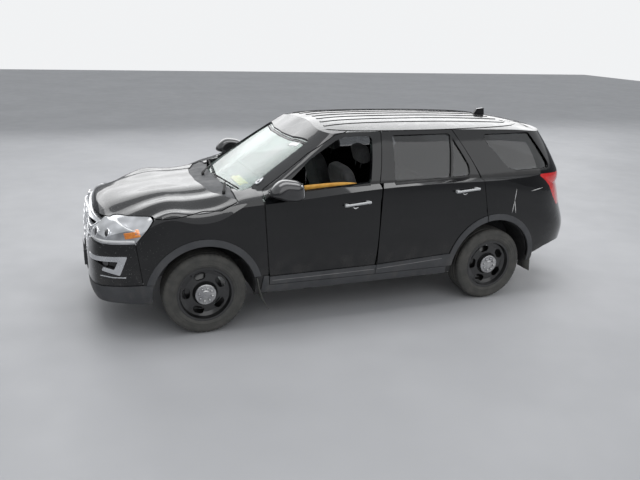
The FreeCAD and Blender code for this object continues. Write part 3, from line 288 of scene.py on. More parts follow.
M = {
    "paint": paint_finish(),
    "dark_trim": trim_finish("matte_dark_trim"),
    "door_trim": trim_finish("matte_trim_light_handle", True),
    "gloss_black": plain_finish("gloss_black_plastic", (0.011, 0.011, 0.012), (0.02, 0.02, 0.022), 0.2,
                                coat=1.0),
    "silver": plain_finish("satin_silver", (0.52, 0.53, 0.55), (0.62, 0.63, 0.65), 0.24, metal=0.7, coat=0.5,
                           grain=0),
    "chrome": plain_finish("bright_steel", (0.72, 0.73, 0.75), (0.8, 0.8, 0.8), 0.12, metal=1.0, grain=0),
    "cap": plain_finish("brushed_hub_cap", (0.5, 0.5, 0.5), (0.34, 0.34, 0.35), 0.28, metal=1.0, grain=0),
    # A pale line painted along the sill trim's groove: a painted highlight.
    "groove": plain_finish("trim_groove_painted_highlight", (0.15, 0.15, 0.155), (0.2, 0.2, 0.2), 0.5),
    # The white finish also paints the highlight on the lip under each door handle.
    "white": plain_finish("white_plastic_and_painted_highlight", (0.74, 0.75, 0.76), (0.8, 0.8, 0.8), 0.25, coat=1.0),
    "amber": plain_finish("amber_reflector", (0.75, 0.2, 0.02), (0.85, 0.3, 0.04), 0.18, coat=1.0, scale=60),
    "yellow": plain_finish("yellow_board", (0.9, 0.5, 0.1), (0.75, 0.36, 0.05), 0.5, scale=18, height=0.0004),
    "lime": plain_finish("yellow_cover", (1.0, 0.8, 0.08), (0.9, 0.7, 0.07), 0.6, scale=18, height=0.0004),
    # This pale finish is used for the quarter panel's scratches and for its painted highlight line.
    "scuff": plain_finish("bare_scuff_and_highlight", (0.66, 0.66, 0.65), (0.4, 0.4, 0.4), 0.5, scale=90, height=0.0002),
    "black": plain_finish("matte_black", (0.012, 0.012, 0.013), (0.02, 0.02, 0.02), 0.75, grain=900,
                          height=0.0002),
    "frit": plain_finish("glass_border", (0.008, 0.008, 0.009), (0.014, 0.014, 0.015), 0.2, scale=30),
    "smoke_glass": glass_finish("light_tinted_glass", (0.27, 0.29, 0.28)),
    "screen": windscreen_finish(),
    "dark_glass": glass_finish("privacy_glass", (0.16, 0.165, 0.17), ior=1.62),
    "tail": tail_lamp_finish(),
    "head": head_lamp_finish(),
    "underbody": plain_finish("underbody_coat", (0.03, 0.03, 0.031), (0.06, 0.057, 0.052), 0.8, grain=300,
                              height=0.0006),
    "cabin": plain_finish("grained_cabin_trim", (0.022, 0.022, 0.024), (0.034, 0.034, 0.036), 0.6, grain=1100,
                          height=0.0003),
    "engine": plain_finish("cast_engine", (0.12, 0.12, 0.125), (0.22, 0.22, 0.22), 0.55, metal=0.5,
                           height=0.0006),
    "chassis": plain_finish("coated_steel", (0.03, 0.03, 0.031), (0.08, 0.06, 0.045), 0.6, metal=0.3,
                            height=0.0005),
    "exhaust": plain_finish("dull_exhaust", (0.26, 0.24, 0.22), (0.16, 0.12, 0.09), 0.5, metal=0.9,
                            height=0.0003),
    "wheel": plain_finish("satin_black_wheel", (0.009, 0.009, 0.01), (0.015, 0.015, 0.015), 0.36, metal=0.2,
                          coat=0.8),
    "tyre": plain_finish("tyre_rubber", (0.05, 0.05, 0.047), (0.075, 0.073, 0.067), 0.78, grain=600,
                         height=0.0003),
    "flap": plain_finish("flap_rubber", (0.075, 0.077, 0.07), (0.1, 0.1, 0.092), 0.7, grain=500,
                         height=0.0004),
    "seat": cloth_finish("seat_cloth", (0.05, 0.052, 0.055), (0.08, 0.082, 0.086)),
}
# The nodes that aren't in the car's paint.
NODE_FINISH = {
    "front_valance": "dark_trim", "plate_bracket": "dark_trim", "body_mouldings": "dark_trim",
    "cowl_panel": "dark_trim", "grille": "silver", "bumper_bezels": "silver", "headlamps": "head",
    "tail_lamps": "tail", "arch_linings": "black", "wipers": "black", "windscreen": "screen",
    "quarter_glasses": "dark_glass", "liftgate_glass": "dark_glass", "door_glass_rear_left": "dark_glass",
    "door_glass_rear_right": "dark_glass", "door_glass_front_right": "smoke_glass", "dashboard": "cabin",
    "steering_wheel": "cabin", "engine_block": "engine", "front_suspension": "chassis",
    "rear_suspension": "chassis", "knuckle_left": "chassis", "knuckle_right": "chassis",
    "exhaust": "exhaust", "mud_flaps": "flap", "mirror_left": "gloss_black", "mirror_right": "gloss_black",
    "floor_pan": "underbody", "front_seats": "seat", "rear_seat": "seat",
}
# The nodes of the doors and wheels, by how their names begin.
START_FINISH = {"door_trim": "door_trim", "wheel_": "wheel", "tyre_": "tyre"}


def dress_nodes():
    """Gives each CAD node its finish; what has none of its own is in the car's paint."""
    for name, item in nodes.items():
        key = NODE_FINISH.get(name, "paint")
        for start, finish in START_FINISH.items():
            if name.startswith(start):
                key = finish
        if not item.material_slots:
            item.data.materials.append(M[key])
        for slot in item.material_slots:
            slot.material = M[key]


# Building pieces


def add_piece(name, verts, faces, finish, body, smooth=True):
    """A mesh piece with its faces turned outward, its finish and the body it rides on."""
    mesh = bpy.data.meshes.new(name)
    mesh.from_pydata([tuple(v) for v in verts], [], faces)
    mesh.validate()
    work = bmesh.new()
    work.from_mesh(mesh)
    bmesh.ops.recalc_face_normals(work, faces=work.faces)
    work.to_mesh(mesh)
    work.free()
    mesh.materials.append(M[finish])
    if smooth:
        mesh.shade_smooth()
    piece = bpy.data.objects.new(name, mesh)
    scene.collection.objects.link(piece)
    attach(piece, body)
    return piece


class Bundle:
    """Vertices and faces of several forms that make one piece."""

    def __init__(self):
        self.verts = []
        self.faces = []

    def grid(self, rows, ring=False):
        """Faces between rows that are loops of points: capped at both ends, or closed to a ring."""
        base = len(self.verts)
        count, width = len(rows), len(rows[0])
        self.verts += [v for row in rows for v in row]
        for i in range(count if ring else count - 1):
            for j in range(width):
                a = base + i * width + j
                b = base + i * width + (j + 1) % width
                c = base + (i + 1) % count * width + (j + 1) % width
                d = base + (i + 1) % count * width + j
                self.faces.append((a, b, c, d))
        if not ring:
            self.faces.append(tuple(base + j for j in range(width)))
            self.faces.append(tuple(base + (count - 1) * width + j for j in reversed(range(width))))

    def lathe(self, middle, axis, profile, steps):
        """Turns a profile of (along the axis, radius) round the axis through the middle."""
        axis = Vector(axis).normalized()
        across = axis.orthogonal().normalized()
        other = axis.cross(across)
        rows = []
        for along, radius in profile:
            rows.append([Vector(middle) + axis * along + (across * math.cos(t) + other * math.sin(t)) * radius
                         for t in (2 * math.pi * k / steps for k in range(steps))])
        self.grid(rows)

    def box(self, middle, half, turn=None, bevel=0.15):
        """A block with chamfered long edges, given its middle, half sizes and rotation."""
        turn = turn or Matrix.Identity(3)
        hx, hy, hz = half
        cut = bevel * min(hy, hz)
        ring = [(-hy + cut, -hz), (hy - cut, -hz), (hy, -hz + cut), (hy, hz - cut),
                (hy - cut, hz), (-hy + cut, hz), (-hy, hz - cut), (-hy, -hz + cut)]
        rows = []
        for x, share in ((-hx, 0.96), (-hx + cut, 1), (hx - cut, 1), (hx, 0.96)):
            rows.append([Vector(middle) + turn @ Vector((x, y * share, z * share)) for y, z in ring])
        self.grid(rows)

    def piece(self, name, finish, body, slot, smooth=True):
        return add_piece(name, self.verts, self.faces, finish, body, smooth)


def between(ends, share):
    """The value at a share of the way between two ends."""
    return ends[0] + (ends[1] - ends[0]) * share


def mirror_y(points):
    return [Vector((p[0], -p[1], p[2])) for p in points]


# The search trees made so far, by the names of their nodes.
trees = {}


def skin_of(*names):
    """A search tree over the faces of some CAD nodes."""
    if names not in trees:
        verts, polys = [], []
        for name in names:
            base = len(verts)
            mesh = nodes[name].data
            verts += [v.co.copy() for v in mesh.vertices]
            polys += [[base + i for i in p.vertices] for p in mesh.polygons]
        trees[names] = BVHTree.FromPolygons(verts, polys)
    return trees[names]


# From each side, where a ray through the two given coordinates starts, and its way.
CASTS = {"left": (lambda x, z: Vector((x, 3, z)), Vector((0, -1, 0))),
         "front": (lambda y, z: Vector((4, y, z)), Vector((-1, 0, 0))),
         "top": (lambda x, y: Vector((x, y, 3)), Vector((0, 0, -1)))}


def on_skin(tree, side, a, b):
    """The first point of a skin under two coordinates seen from a side, and its outward normal."""
    start, way = CASTS[side]
    found, normal, _, _ = tree.ray_cast(start(a, b), way)
    if found is None:
        return None, None
    return found, normal if normal.dot(way) < 0 else -normal


def spaced(line, step):
    """Points about a step apart along a line of corners."""
    points = []
    for (ax, ay), (bx, by) in zip(line, line[1:]):
        run = math.hypot(bx - ax, by - ay)
        count = max(1, int(run / step))
        points += [(ax + (bx - ax) * k / count, ay + (by - ay) * k / count) for k in range(count)]
    points.append(line[-1])
    return points


def ribbon(bundle, names, side, line, width, lift, thick, step, across=3, taper=False):
    """A strip that follows the skin of some nodes along a line seen from one side.

    Its top lies a lift over the skin. It has a number of points across and may taper at both ends."""
    tree = skin_of(*names)
    points = spaced(line, step)
    top, low = [], []
    for k, (a, b) in enumerate(points):
        before = points[max(0, k - 1)]
        after = points[min(len(points) - 1, k + 1)]
        run = math.hypot(after[0] - before[0], after[1] - before[1])
        nx, ny = -(after[1] - before[1]) / run, (after[0] - before[0]) / run
        half = width / 2
        if taper:
            half *= max(0.15, math.sin(math.pi * (k + 0.5) / len(points)))
        outer_row, inner_row = [], []
        for j in range(across):
            share = 2 * j / (across - 1) - 1
            found, normal = on_skin(tree, side, a + nx * half * share, b + ny * half * share)
            if found is None:
                break
            outer_row.append(found + normal * lift)
            inner_row.append(found + normal * (lift - thick))
        if len(outer_row) == across:
            top.append(outer_row)
            low.append(inner_row)
    if len(top) < 2:
        return
    rows = [a + b[::-1] for a, b in zip(top, low)]
    bundle.grid(rows)


def both(name, maker, finish, body, slot):
    """The same piece on the left and on the right; a body name may hold {side}."""
    for side in ("left", "right"):
        bundle = Bundle()
        maker(bundle)
        if side == "right":
            bundle.verts = mirror_y(bundle.verts)
            bundle.faces = [tuple(reversed(face)) for face in bundle.faces]
        bundle.piece("%s_%s" % (name, side), finish, body.replace("{side}", side), slot)


# Wheels and tyres


# Half of the tyre's section from the middle of the tread to the bead: across and radius.
TYRE_HALF = [(0.0, 0.363), (0.012, 0.3629), (0.0135, 0.3555), (0.0215, 0.3555), (0.023, 0.3628),
             (0.052, 0.3622), (0.0535, 0.355), (0.0615, 0.355), (0.063, 0.3618), (0.088, 0.3606),
             (0.1, 0.358), (0.109, 0.352), (0.116, 0.341), (0.121, 0.325), (0.1232, 0.312),
             (0.1215, 0.309), (0.1238, 0.3), (0.1238, 0.288), (0.122, 0.275), (0.1235, 0.2725),
             (0.121, 0.268), (0.116, 0.254), (0.112, 0.247), (0.106, 0.2455), (0.1, 0.239)]
TYRE_STEPS = 280
SHOULDER = (0.064, 0.112)
SHOULDER_CUT = 0.0055
MIDDLE_RIB = (0.0235, 0.0525)
SIPE_CUT = 0.003


def tread_radius(across, radius, step):
    """Shoulder slots every fifth step and short sipes in the middle ribs."""
    if SHOULDER[0] < abs(across) < SHOULDER[1] and step % 5 == 0:
        return radius - SHOULDER_CUT
    if MIDDLE_RIB[0] < abs(across) < MIDDLE_RIB[1] and step % 5 == (2 if across > 0 else 3):
        return radius - SIPE_CUT
    return radius


def middle_of(node):
    low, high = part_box(node)
    return (Vector(low) + Vector(high)) / 2


def add_tyre(place):
    """The tyre with its grooves and slots, in place of the plain one."""
    middle = middle_of("tyre_" + place)
    profile = [(-a, r) for a, r in reversed(TYRE_HALF[1:])] + TYRE_HALF
    bundle = Bundle()
    rows = []
    for step in range(TYRE_STEPS):
        turn = 2 * math.pi * step / TYRE_STEPS
        row = []
        for across, radius in profile:
            r = tread_radius(across, radius, step)
            row.append(middle + Vector((r * math.sin(turn), across, r * math.cos(turn))))
        rows.append(row)
    bundle.grid(rows, True)
    tyre = bundle.piece("tread_tyre_" + place, "tyre", "wheel_" + place, "tyre")
    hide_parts("tyre_" + place)


# Profiles of what sits in each wheel: distance along the axle and radius.
CAP_PROFILE = [(-0.012, 0.0915), (0.0, 0.0915), (0.0025, 0.0895), (0.0045, 0.083), (0.0035, 0.079),
               (0.006, 0.074), (0.0075, 0.058), (0.0085, 0.042), (0.012, 0.036), (0.0145, 0.028),
               (0.015, 0.0005)]
LUG_PROFILE = [(0.0, 0.0135), (0.008, 0.013), (0.0135, 0.0105), (0.0155, 0.006), (0.016, 0.0005)]
DISC_PROFILE = [(0.0, 0.165), (0.012, 0.165), (0.0125, 0.164), (0.0125, 0.09), (0.03, 0.082), (0.031, 0.001)]
STEM_PROFILE = [(0, 0.004), (0.03, 0.004), (0.034, 0.003)]
DISC_PLACE = -0.005
LUGS = 8
LUG_CIRCLE = 0.059
LUG_TURN = 0.3
STEM_TURN = 0.6
STEM_RADIUS = 0.205
STEM_PLACE = 0.07


def add_cap(place):
    """The hub cap with its lug bumps, the brake disc and the valve of one wheel."""
    low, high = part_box("wheel_" + place)
    side = 1 if place.endswith("left") else -1
    axle = (0, side, 0)
    middle = middle_of("wheel_" + place)
    face = Vector((middle.x, high[1] if side > 0 else low[1], middle.z))
    cap = Bundle()
    cap.lathe(face, axle, CAP_PROFILE, 64)
    for k in range(LUGS):
        turn = 2 * math.pi * (k + LUG_TURN) / LUGS
        at = face + Vector((math.cos(turn) * LUG_CIRCLE, 0.005 * side, math.sin(turn) * LUG_CIRCLE))
        cap.lathe(at, axle, LUG_PROFILE, 16)
    cap.piece("hub_cap_" + place, "cap", "wheel_" + place, "wheel_steel")
    disc = Bundle()
    disc.lathe(middle + Vector((0, side * DISC_PLACE, 0)), axle, DISC_PROFILE, 64)
    disc.piece("brake_disc_" + place, "wheel", "wheel_" + place, "wheel_steel")
    stem = Bundle()
    out = Vector((math.sin(STEM_TURN), 0, math.cos(STEM_TURN)))
    foot = middle + out * STEM_RADIUS + Vector((0, side * STEM_PLACE, 0))
    stem.lathe(foot, (0.12, side, 0.1), STEM_PROFILE, 12)
    stem.piece("valve_" + place, "black", "wheel_" + place, "tyre")


# Lamps, grille and bumpers


# The headlamp's lines on the lens: the side they are seen from, their corners and their width.
LAMP_STRIPS = (("left", [(2.012, 1.0), (2.118, 0.882)], 0.02),
               ("left", [(2.122, 0.872), (2.30, 0.858), (2.39, 0.852)], 0.021),
               ("front", [(0.80, 0.853), (0.70, 0.85), (0.60, 0.85)], 0.021),
               ("front", [(0.592, 0.842), (0.588, 0.92)], 0.018))
LAMP_MARKER = [(2.21, 0.91), (2.055, 0.945)]
BOWLS = ((0.765, 0.915), (0.655, 0.905))
BOWL_SINK = 0.012


def lamp_strip(bundle):
    """The white light along the headlamp's rear edge and its foot, and up its inner end."""
    for side, line, width in LAMP_STRIPS:
        ribbon(bundle, ("headlamps",), side, line, width, lift=0.0016, thick=0.003, step=0.012)


def lamp_marker(bundle):
    ribbon(bundle, ("headlamps",), "left", LAMP_MARKER, 0.05, lift=0.0014, thick=0.003, step=0.012,
           across=7)


def lamp_bowls(bundle, profile):
    """Round projector lamps whose rims stand just proud of the lens."""
    tree = skin_of("headlamps")
    for y, z in BOWLS:
        found, normal = on_skin(tree, "front", y, z)
        if found is not None:
            way = (normal + Vector((1.2, 0.2, 0.1))).normalized()
            bundle.lathe(found - way * BOWL_SINK, way, profile, 40)


RIM_PROFILE = [(0.0, 0.045), (0.0125, 0.044), (0.0148, 0.041), (0.0135, 0.0385), (0.011, 0.037)]
BALL_PROFILE = [(0.0, 0.036), (0.010, 0.034), (0.0145, 0.026), (0.0165, 0.015), (0.017, 0.001)]


MESH_X = 2.352
MESH_FOOT = 0.70
SLATS_ACROSS = 13
SLATS_UPRIGHT = 35


def grille_back(bundle):
    """Black mesh behind the grille's openings: thin slats across and upright."""
    for k in range(SLATS_ACROSS):
        bundle.box((MESH_X, 0, MESH_FOOT + k * 0.0215), (0.002, 0.52, 0.0035))
    for k in range(SLATS_UPRIGHT):
        bundle.box((MESH_X - 0.004, -0.51 + k * 0.03, 0.828), (0.002, 0.003, 0.132))


INTAKE_X = 2.43
INTAKE_FOOT = 0.52
INTAKE_MIDDLE = 0.325
INTAKE_HALF = 0.145


def intake_back(bundle):
    """Slats in the two lower intakes, and a dark wall behind them."""
    for y in (INTAKE_MIDDLE, -INTAKE_MIDDLE):
        for k in range(6):
            bundle.box((INTAKE_X, y, INTAKE_FOOT + k * 0.022), (0.004, INTAKE_HALF, 0.004))
    bundle.box((2.395, 0, 0.575), (0.003, 0.5, 0.075))


STRAKE = [(2.215, 0.552), (2.31, 0.546), (2.41, 0.55)]


def bumper_strake(bundle):
    """The bright line low on the bumper's corner."""
    ribbon(bundle, ("front_bumper",), "left", STRAKE, 0.009, lift=0.003, thick=0.005, step=0.015)


FOG_LAMP_AT = (2.36, 0.665)
FOG_LAMP_PROFILE = [(0, 0.03), (0.012, 0.03), (0.014, 0.027), (0.012, 0.025), (0.015, 0.012), (0.0155, 0.001)]


def fog_lamp(bundle):
    """A small round lens on the bumper's skin, at its corner."""
    found, normal = on_skin(skin_of("front_bumper"), "left", *FOG_LAMP_AT)
    if found is not None:
        bundle.lathe(found - normal * 0.004, normal, FOG_LAMP_PROFILE, 36)


PLATE_HALF = (0.151, 0.075)
PLATE_CORNER = 0.012
# The plate's edge and raised rim: how far out, and how far in from the outline.
PLATE_RIM = ((0, 0), (0.0018, 0), (0.0024, 0.002), (0.0024, 0.005), (0.0016, 0.0065))
REAR_PLATE_Z = 1.0
FRONT_PLATE_Z = 0.56
# The rear plate's place from the liftgate's rearmost point, and the front plate's gap to its bracket.
REAR_PLATE_IN = 0.03
FRONT_PLATE_GAP = 0.0004


def plate(bundle, x, way, z):
    """A blank number plate with rounded corners and a raised rim, upright across the car."""
    half_w, half_h = PLATE_HALF
    rows = []
    for out, shrink in PLATE_RIM:
        row = []
        radius = PLATE_CORNER - shrink
        for cx, cz, start in ((1, 1, 0), (-1, 1, 90), (-1, -1, 180), (1, -1, 270)):
            for k in range(5):
                t = math.radians(start + 22.5 * k)
                y = cx * (half_w - PLATE_CORNER) + radius * math.cos(t)
                up = cz * (half_h - PLATE_CORNER) + radius * math.sin(t)
                row.append(Vector((x + way * out, y, z + up)))
        rows.append(row)
    bundle.grid(rows)


def rear_plate(bundle):
    """It faces the rear, a little ahead of the liftgate's rearmost point."""
    low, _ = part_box("liftgate")
    plate(bundle, low[0] + REAR_PLATE_IN, -1, REAR_PLATE_Z)


def front_plate(bundle):
    """It faces the front, close before its bracket."""
    _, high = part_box("plate_bracket")
    plate(bundle, high[0] + FRONT_PLATE_GAP, 1, FRONT_PLATE_Z)


# Trim on the sides


def backing(bundle, names, line, reach=0.02, depth=0.012):
    """A dark strip behind the seam between two panels, seen from the left.

    It reaches a little to the fore and the rear of the line, a depth under both skins."""
    tree = skin_of(*names)
    rows = []
    for a, b in spaced(line, 0.02):
        fore, fore_normal = on_skin(tree, "left", a + reach, b)
        rear, rear_normal = on_skin(tree, "left", a - reach, b)
        if fore is None or rear is None:
            continue
        fore = fore - fore_normal * depth
        rear = rear - rear_normal * depth
        rows.append([fore, rear, rear - rear_normal * 0.003, fore - fore_normal * 0.003])
    if len(rows) > 1:
        bundle.grid(rows)


BUMPER_SEAM = [(2.128, 0.84), (2.086, 0.5)]
DOOR_SEAM = [(1.014, 0.49), (1.066, 1.16)]


def seam_backing(bundle):
    """Behind the fender's two seams, with the bumper and with the front door."""
    backing(bundle, ("front_bumper", "front_fenders"), BUMPER_SEAM)
    backing(bundle, ("front_fenders", "door_front_left"), DOOR_SEAM)


ROOF_CORNER_X = (-1.885, -1.65)
ROOF_CORNER_Y = (0.36, 0.588)


def roof_corner_height(x, y):
    """The panel's plane: it rises forward and falls outward."""
    return 1.68 + 0.12 * (x + 1.888) - 0.14 * (y - 0.44)


def roof_corner(bundle):
    """The painted panel that closes the roof's rear corner, just under the skins beside it."""
    rows = []
    for i in range(9):
        x = between(ROOF_CORNER_X, i / 8)
        top = []
        for j in range(9):
            y = between(ROOF_CORNER_Y, j / 8)
            top.append(Vector((x, y, roof_corner_height(x, y))))
        rows.append(top + [point - Vector((0, 0, 0.002)) for point in reversed(top)])
    bundle.grid(rows)


# The curve of each mud flap, from its top down: x and z. Then its inner and outer edges.
FRONT_FLAP = ([(1.125, 0.47), (1.108, 0.38), (1.075, 0.27), (1.02, 0.172)], 0.79, 0.99)
REAR_FLAP = ([(-1.735, 0.60), (-1.772, 0.48), (-1.792, 0.36), (-1.80, 0.24)], 0.765, 0.955)
FLAP_THICK = 0.006


def mud_flap(bundle, shape):
    """A rubber flap that hangs behind a wheel along its curve."""
    line, inner, outer = shape
    rows = []
    for x, z in spaced(line, 0.02):
        rows.append([Vector((x, inner, z)), Vector((x, outer, z)), Vector((x - FLAP_THICK, outer, z)),
                     Vector((x - FLAP_THICK, inner, z))])
    bundle.grid(rows)


def window_backing(bundle):
    """Black behind the front edge of the rear door's glass."""
    low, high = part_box("door_glass_rear_left")
    edge = [(high[0], low[2] + 0.02), (high[0], high[2] - 0.02)]
    backing(bundle, ("door_rear_left", "door_glass_rear_left"), edge, 0.025, 0.02)


def handle_crescent(bundle, door):
    """The light caught by the lip of the scoop under a door handle."""
    grip = [v.co for v in nodes["door_trim_%s_left" % door].data.vertices if v.co.z > HANDLE_FOOT]
    middle = (min(v.x for v in grip) + max(v.x for v in grip)) / 2 + 0.012
    foot = min(v.z for v in grip)
    line = [(middle + 0.026 - 0.0104 * k, foot - 0.012 - 0.012 * math.sin(math.pi * k / 5)) for k in range(6)]
    ribbon(bundle, ("door_%s_left" % door,), "left", line, 0.009, lift=0.0006, thick=0.001, step=0.004,
           taper=True)


# Lines along each door: a painted highlight along the groove in its sill trim, and the rubber under its
# window.
SILL_GROOVE_HIGHLIGHTS = {"front": [(0.985, 0.435), (0.0, 0.447)], "rear": [(-0.03, 0.449), (-0.72, 0.487)]}
WINDOW_BANDS = {"front": [(0.885, 1.194), (0.86, 1.244), (0.06, 1.247)],
                "rear": [(-0.185, 1.242), (-0.9, 1.262), (-0.99, 1.268)]}


# A painted highlight: a pale line along the groove of the door's sill trim.
def sill_groove_highlight(bundle, door):
    ribbon(bundle, ("door_trim_%s_left" % door,), "left", SILL_GROOVE_HIGHLIGHTS[door], 0.007, lift=0.0005, thick=0.001,
           step=0.03)


def window_band(bundle, door):
    ribbon(bundle, ("door_%s_left" % door,), "left", WINDOW_BANDS[door], 0.016, lift=0.0016, thick=0.003,
           step=0.03)


BOARD_X = (0.70, 0.14)
BOARD_TOP = 1.233
# The board's section: across the car, and up from its top edge.
BOARD_SECTION = ((0.80, -0.06), (0.812, 0), (0.806, 0.004), (0.792, -0.06))


def yellow_sill(bundle):
    """The yellow board over the foot of the open front window: its top rises, then falls at the rear."""
    rows = []
    for k in range(26):
        share = k / 25
        x = between(BOARD_X, share)
        z = BOARD_TOP + 0.03 * share - 0.031 * share ** 4
        bow = 0.006 * math.sin(math.pi * share)
        rows.append([Vector((x, y + bow, z + up)) for y, up in BOARD_SECTION])
    bundle.grid(rows)


# The pillar lamp's foot: its middle in x and z, its way up the pillar, and its half sizes.
FOOT_AT = (1.04, 1.262)
FOOT_WAY = Vector((-0.62, -0.03, 0.6))
FOOT_LONG = 0.062
FOOT_SHORT = 0.034
FOOT_WIDTH = 0.024
# The bright ring and the black hole in it: share of the outline, and height over the skin.
FOOT_RING = ((1.0, 0.0), (0.97, 0.011), (0.86, 0.015), (0.68, 0.012))
FOOT_HOLE = ((0.7, 0.002), (0.66, 0.011), (0.3, 0.0125))


def pillar_lamp_foot(bundle, profile):
    """The teardrop foot of a pillar lamp, low on the left windscreen pillar."""
    tree = skin_of("body_side_left", "windscreen", "door_front_left")
    middle, normal = on_skin(tree, "left", *FOOT_AT)
    if middle is None:
        return
    along = FOOT_WAY.normalized()
    along = (along - normal * along.dot(normal)).normalized()
    across = normal.cross(along)
    rows = []
    for share, height in profile:
        row = []
        for k in range(32):
            t = 2 * math.pi * k / 32
            length = FOOT_LONG if math.cos(t) > 0 else FOOT_SHORT
            width = FOOT_WIDTH * (1 - 0.35 * max(0, math.cos(t)))
            flat = along * (length * share * math.cos(t)) + across * (width * share * math.sin(t))
            row.append(middle + flat + normal * (height - 0.002))
        rows.append(row)
    bundle.grid(rows)


# The reach of the mirror's glass, and where it stands if the housing isn't met behind it.
PANE_Y = (1.0, 1.115)
PANE_Z = (1.195, 1.315)
PANE_X = 0.76


def mirror_pane(bundle):
    """The mirror's glass on the housing's rear face."""
    rows = []
    tree = skin_of("mirror_left")
    for i in range(9):
        row = []
        for j in range(9):
            y = between(PANE_Y, i / 8)
            z = between(PANE_Z, j / 8)
            found, _, _, _ = tree.ray_cast(Vector((0.5, y, z)), Vector((1, 0, 0)))
            row.append((found or Vector((PANE_X, y, z))) + Vector((-0.0022, 0, 0)))
        rows.append(row + [point + Vector((0.0015, 0, 0)) for point in reversed(row)])
    bundle.grid(rows)


# Seats and cabin


# A cushion's roundness and swell, its sewn channels, and the seam round its side.
CROWN = 5.0
SWELL = 0.05
CHANNEL_WIDTH = 0.007
SEAM_AT = 0.72
SEAM_WIDTH = 0.005
SEAM_DEPTH = 0.003


def pad_point(corner, size, channels, depth):
    """Where a point of a cube's skin comes to lie on the cushion."""
    norm = sum(abs(value) ** CROWN for value in corner) ** (1 / CROWN)
    q = corner / norm
    swell = 1 + SWELL * (1 - abs(q.y) ** 2) * (1 - abs(q.x) ** 2)
    sink = sum(math.exp(-((q.y - at) * size[1] / 2 / CHANNEL_WIDTH) ** 2) for at in channels)
    seam = SEAM_DEPTH * math.exp(-((abs(q.z) - SEAM_AT) * size[2] / 2 / SEAM_WIDTH) ** 2)
    height = q.z * swell * size[2] / 2 - math.copysign(depth, q.z) * sink
    return Vector((q.x * (size[0] / 2 - seam), q.y * (size[1] / 2 - seam), height))


def pad(bundle, middle, size, tilt=0.0, channels=(), depth=0.008, cuts=18):
    """A crowned closed cushion: a rounded block whose sides pull in, with sewn channels along it."""
    turn = Matrix.Rotation(tilt, 3, "Y")
    base = len(bundle.verts)
    work = bmesh.new()
    bmesh.ops.create_cube(work, size=2)
    bmesh.ops.subdivide_edges(work, edges=work.edges[:], cuts=cuts, use_grid_fill=True)
    work.verts.index_update()
    bundle.verts += [Vector(middle) + turn @ pad_point(v.co, size, channels, depth) for v in work.verts]
    bundle.faces += [tuple(base + v.index for v in f.verts) for f in work.faces]
    work.free()


def add_pad(name, node, middle, size, **shape):
    """A padded piece that takes the place of a plain seat."""
    bundle = Bundle()
    pad(bundle, middle, size, **shape)
    piece = bundle.piece(name, "seat", "body", "seat_cloth")
    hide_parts(node)


SEAT_Y = 0.385
SEAT_WIDTH = 0.50
# Pads turn about Y from lying flat. At -90 degrees a back is upright, and less than that leans it forward.
BACK_TILT = math.radians(-74)
BENCH_Y = 0.31
BENCH_WIDTH = 0.6
BENCH_TILT = math.radians(-83)
POST_PROFILE = [(0, 0.006), (0.1, 0.006)]


def add_front_seat(side, y):
    """Cushion, back and head rest, with the rest's two posts and the box under the cushion."""
    add_pad("seat_cushion_" + side, "front_seats", (0.385, y, 0.585), (0.44, SEAT_WIDTH, 0.13),
            channels=(-0.62, 0.62, 0.0))
    add_pad("seat_back_" + side, "front_seats", (0.045, y, 0.965), (0.74, SEAT_WIDTH, 0.13),
            tilt=BACK_TILT, channels=(-0.6, 0.6))
    add_pad("seat_head_" + side, "front_seats", (-0.075, y, 1.425), (0.17, 0.27, 0.1),
            tilt=BACK_TILT, depth=0.0, cuts=12)
    base = Bundle()
    base.box((0.33, y, 0.48), (0.23, 0.2, 0.045))
    for dy in (-0.06, 0.06):
        base.lathe((-0.05, y + dy, 1.29), (-0.2, 0, 1), POST_PROFILE, 12)
    base.piece("seat_base_" + side, "cabin", "body", "cabin_trim")


def add_seats():
    for side, y in (("left", SEAT_Y), ("right", -SEAT_Y)):
        add_front_seat(side, y)
    for k, y in enumerate((BENCH_Y, -BENCH_Y)):
        add_pad("bench_cushion_%d" % k, "rear_seat", (-0.51, y, 0.575), (0.42, BENCH_WIDTH, 0.15),
                channels=(-0.4, 0.4))
        add_pad("bench_back_%d" % k, "rear_seat", (-0.763, y, 0.92), (0.54, BENCH_WIDTH, 0.1),
                tilt=BENCH_TILT, channels=(-0.4, 0.4))


DASH_LEAN = 0.35
VENTS_Y = (-0.6, -0.25, 0.68)


def dash_details(bundle):
    """The hood over the dials, the middle screen, the console between the seats and the vents."""
    lean = Matrix.Rotation(DASH_LEAN, 3, "Y")
    bundle.box((0.80, SEAT_Y, 1.125), (0.09, 0.17, 0.028), Matrix.Rotation(0.2, 3, "Y"), 0.6)
    bundle.box((0.775, 0.0, 1.05), (0.02, 0.12, 0.07), lean, 0.3)
    bundle.box((0.30, 0.0, 0.62), (0.32, 0.10, 0.07), None, 0.4)
    for y in VENTS_Y:
        bundle.box((0.79, y, 1.08), (0.015, 0.06, 0.022), lean, 0.5)


# The windscreen's dark border seen from above: x and y along its foot, its left side and its head.
FRIT_FOOT = [(1.268, 0.0), (1.26, 0.35), (1.195, 0.675)]
FRIT_SIDE = [(1.19, 0.678), (0.9, 0.645), (0.575, 0.598)]
FRIT_HEAD = [(0.572, 0.58), (0.62, 0.3), (0.632, 0), (0.62, -0.3), (0.572, -0.58)]
STICKER = [(0.655, 0.40), (0.615, 0.52)]


def screen_frit(bundle):
    """The border's foot and sides on both halves of the windscreen, and its head."""
    lines = [([(x, y * sign) for x, y in line], width)
             for line, width in ((FRIT_FOOT, 0.03), (FRIT_SIDE, 0.016)) for sign in (1, -1)]
    for line, width in lines + [(FRIT_HEAD, 0.028)]:
        ribbon(bundle, ("windscreen",), "top", line, width, lift=0.0004, thick=0.0008, step=0.03)


def screen_sticker(bundle):
    ribbon(bundle, ("windscreen",), "top", STICKER, 0.05, lift=0.0006, thick=0.001, step=0.02, across=4)


COVER_DEPTH = 0.085
COVER_Y = (-0.2, 0.16)


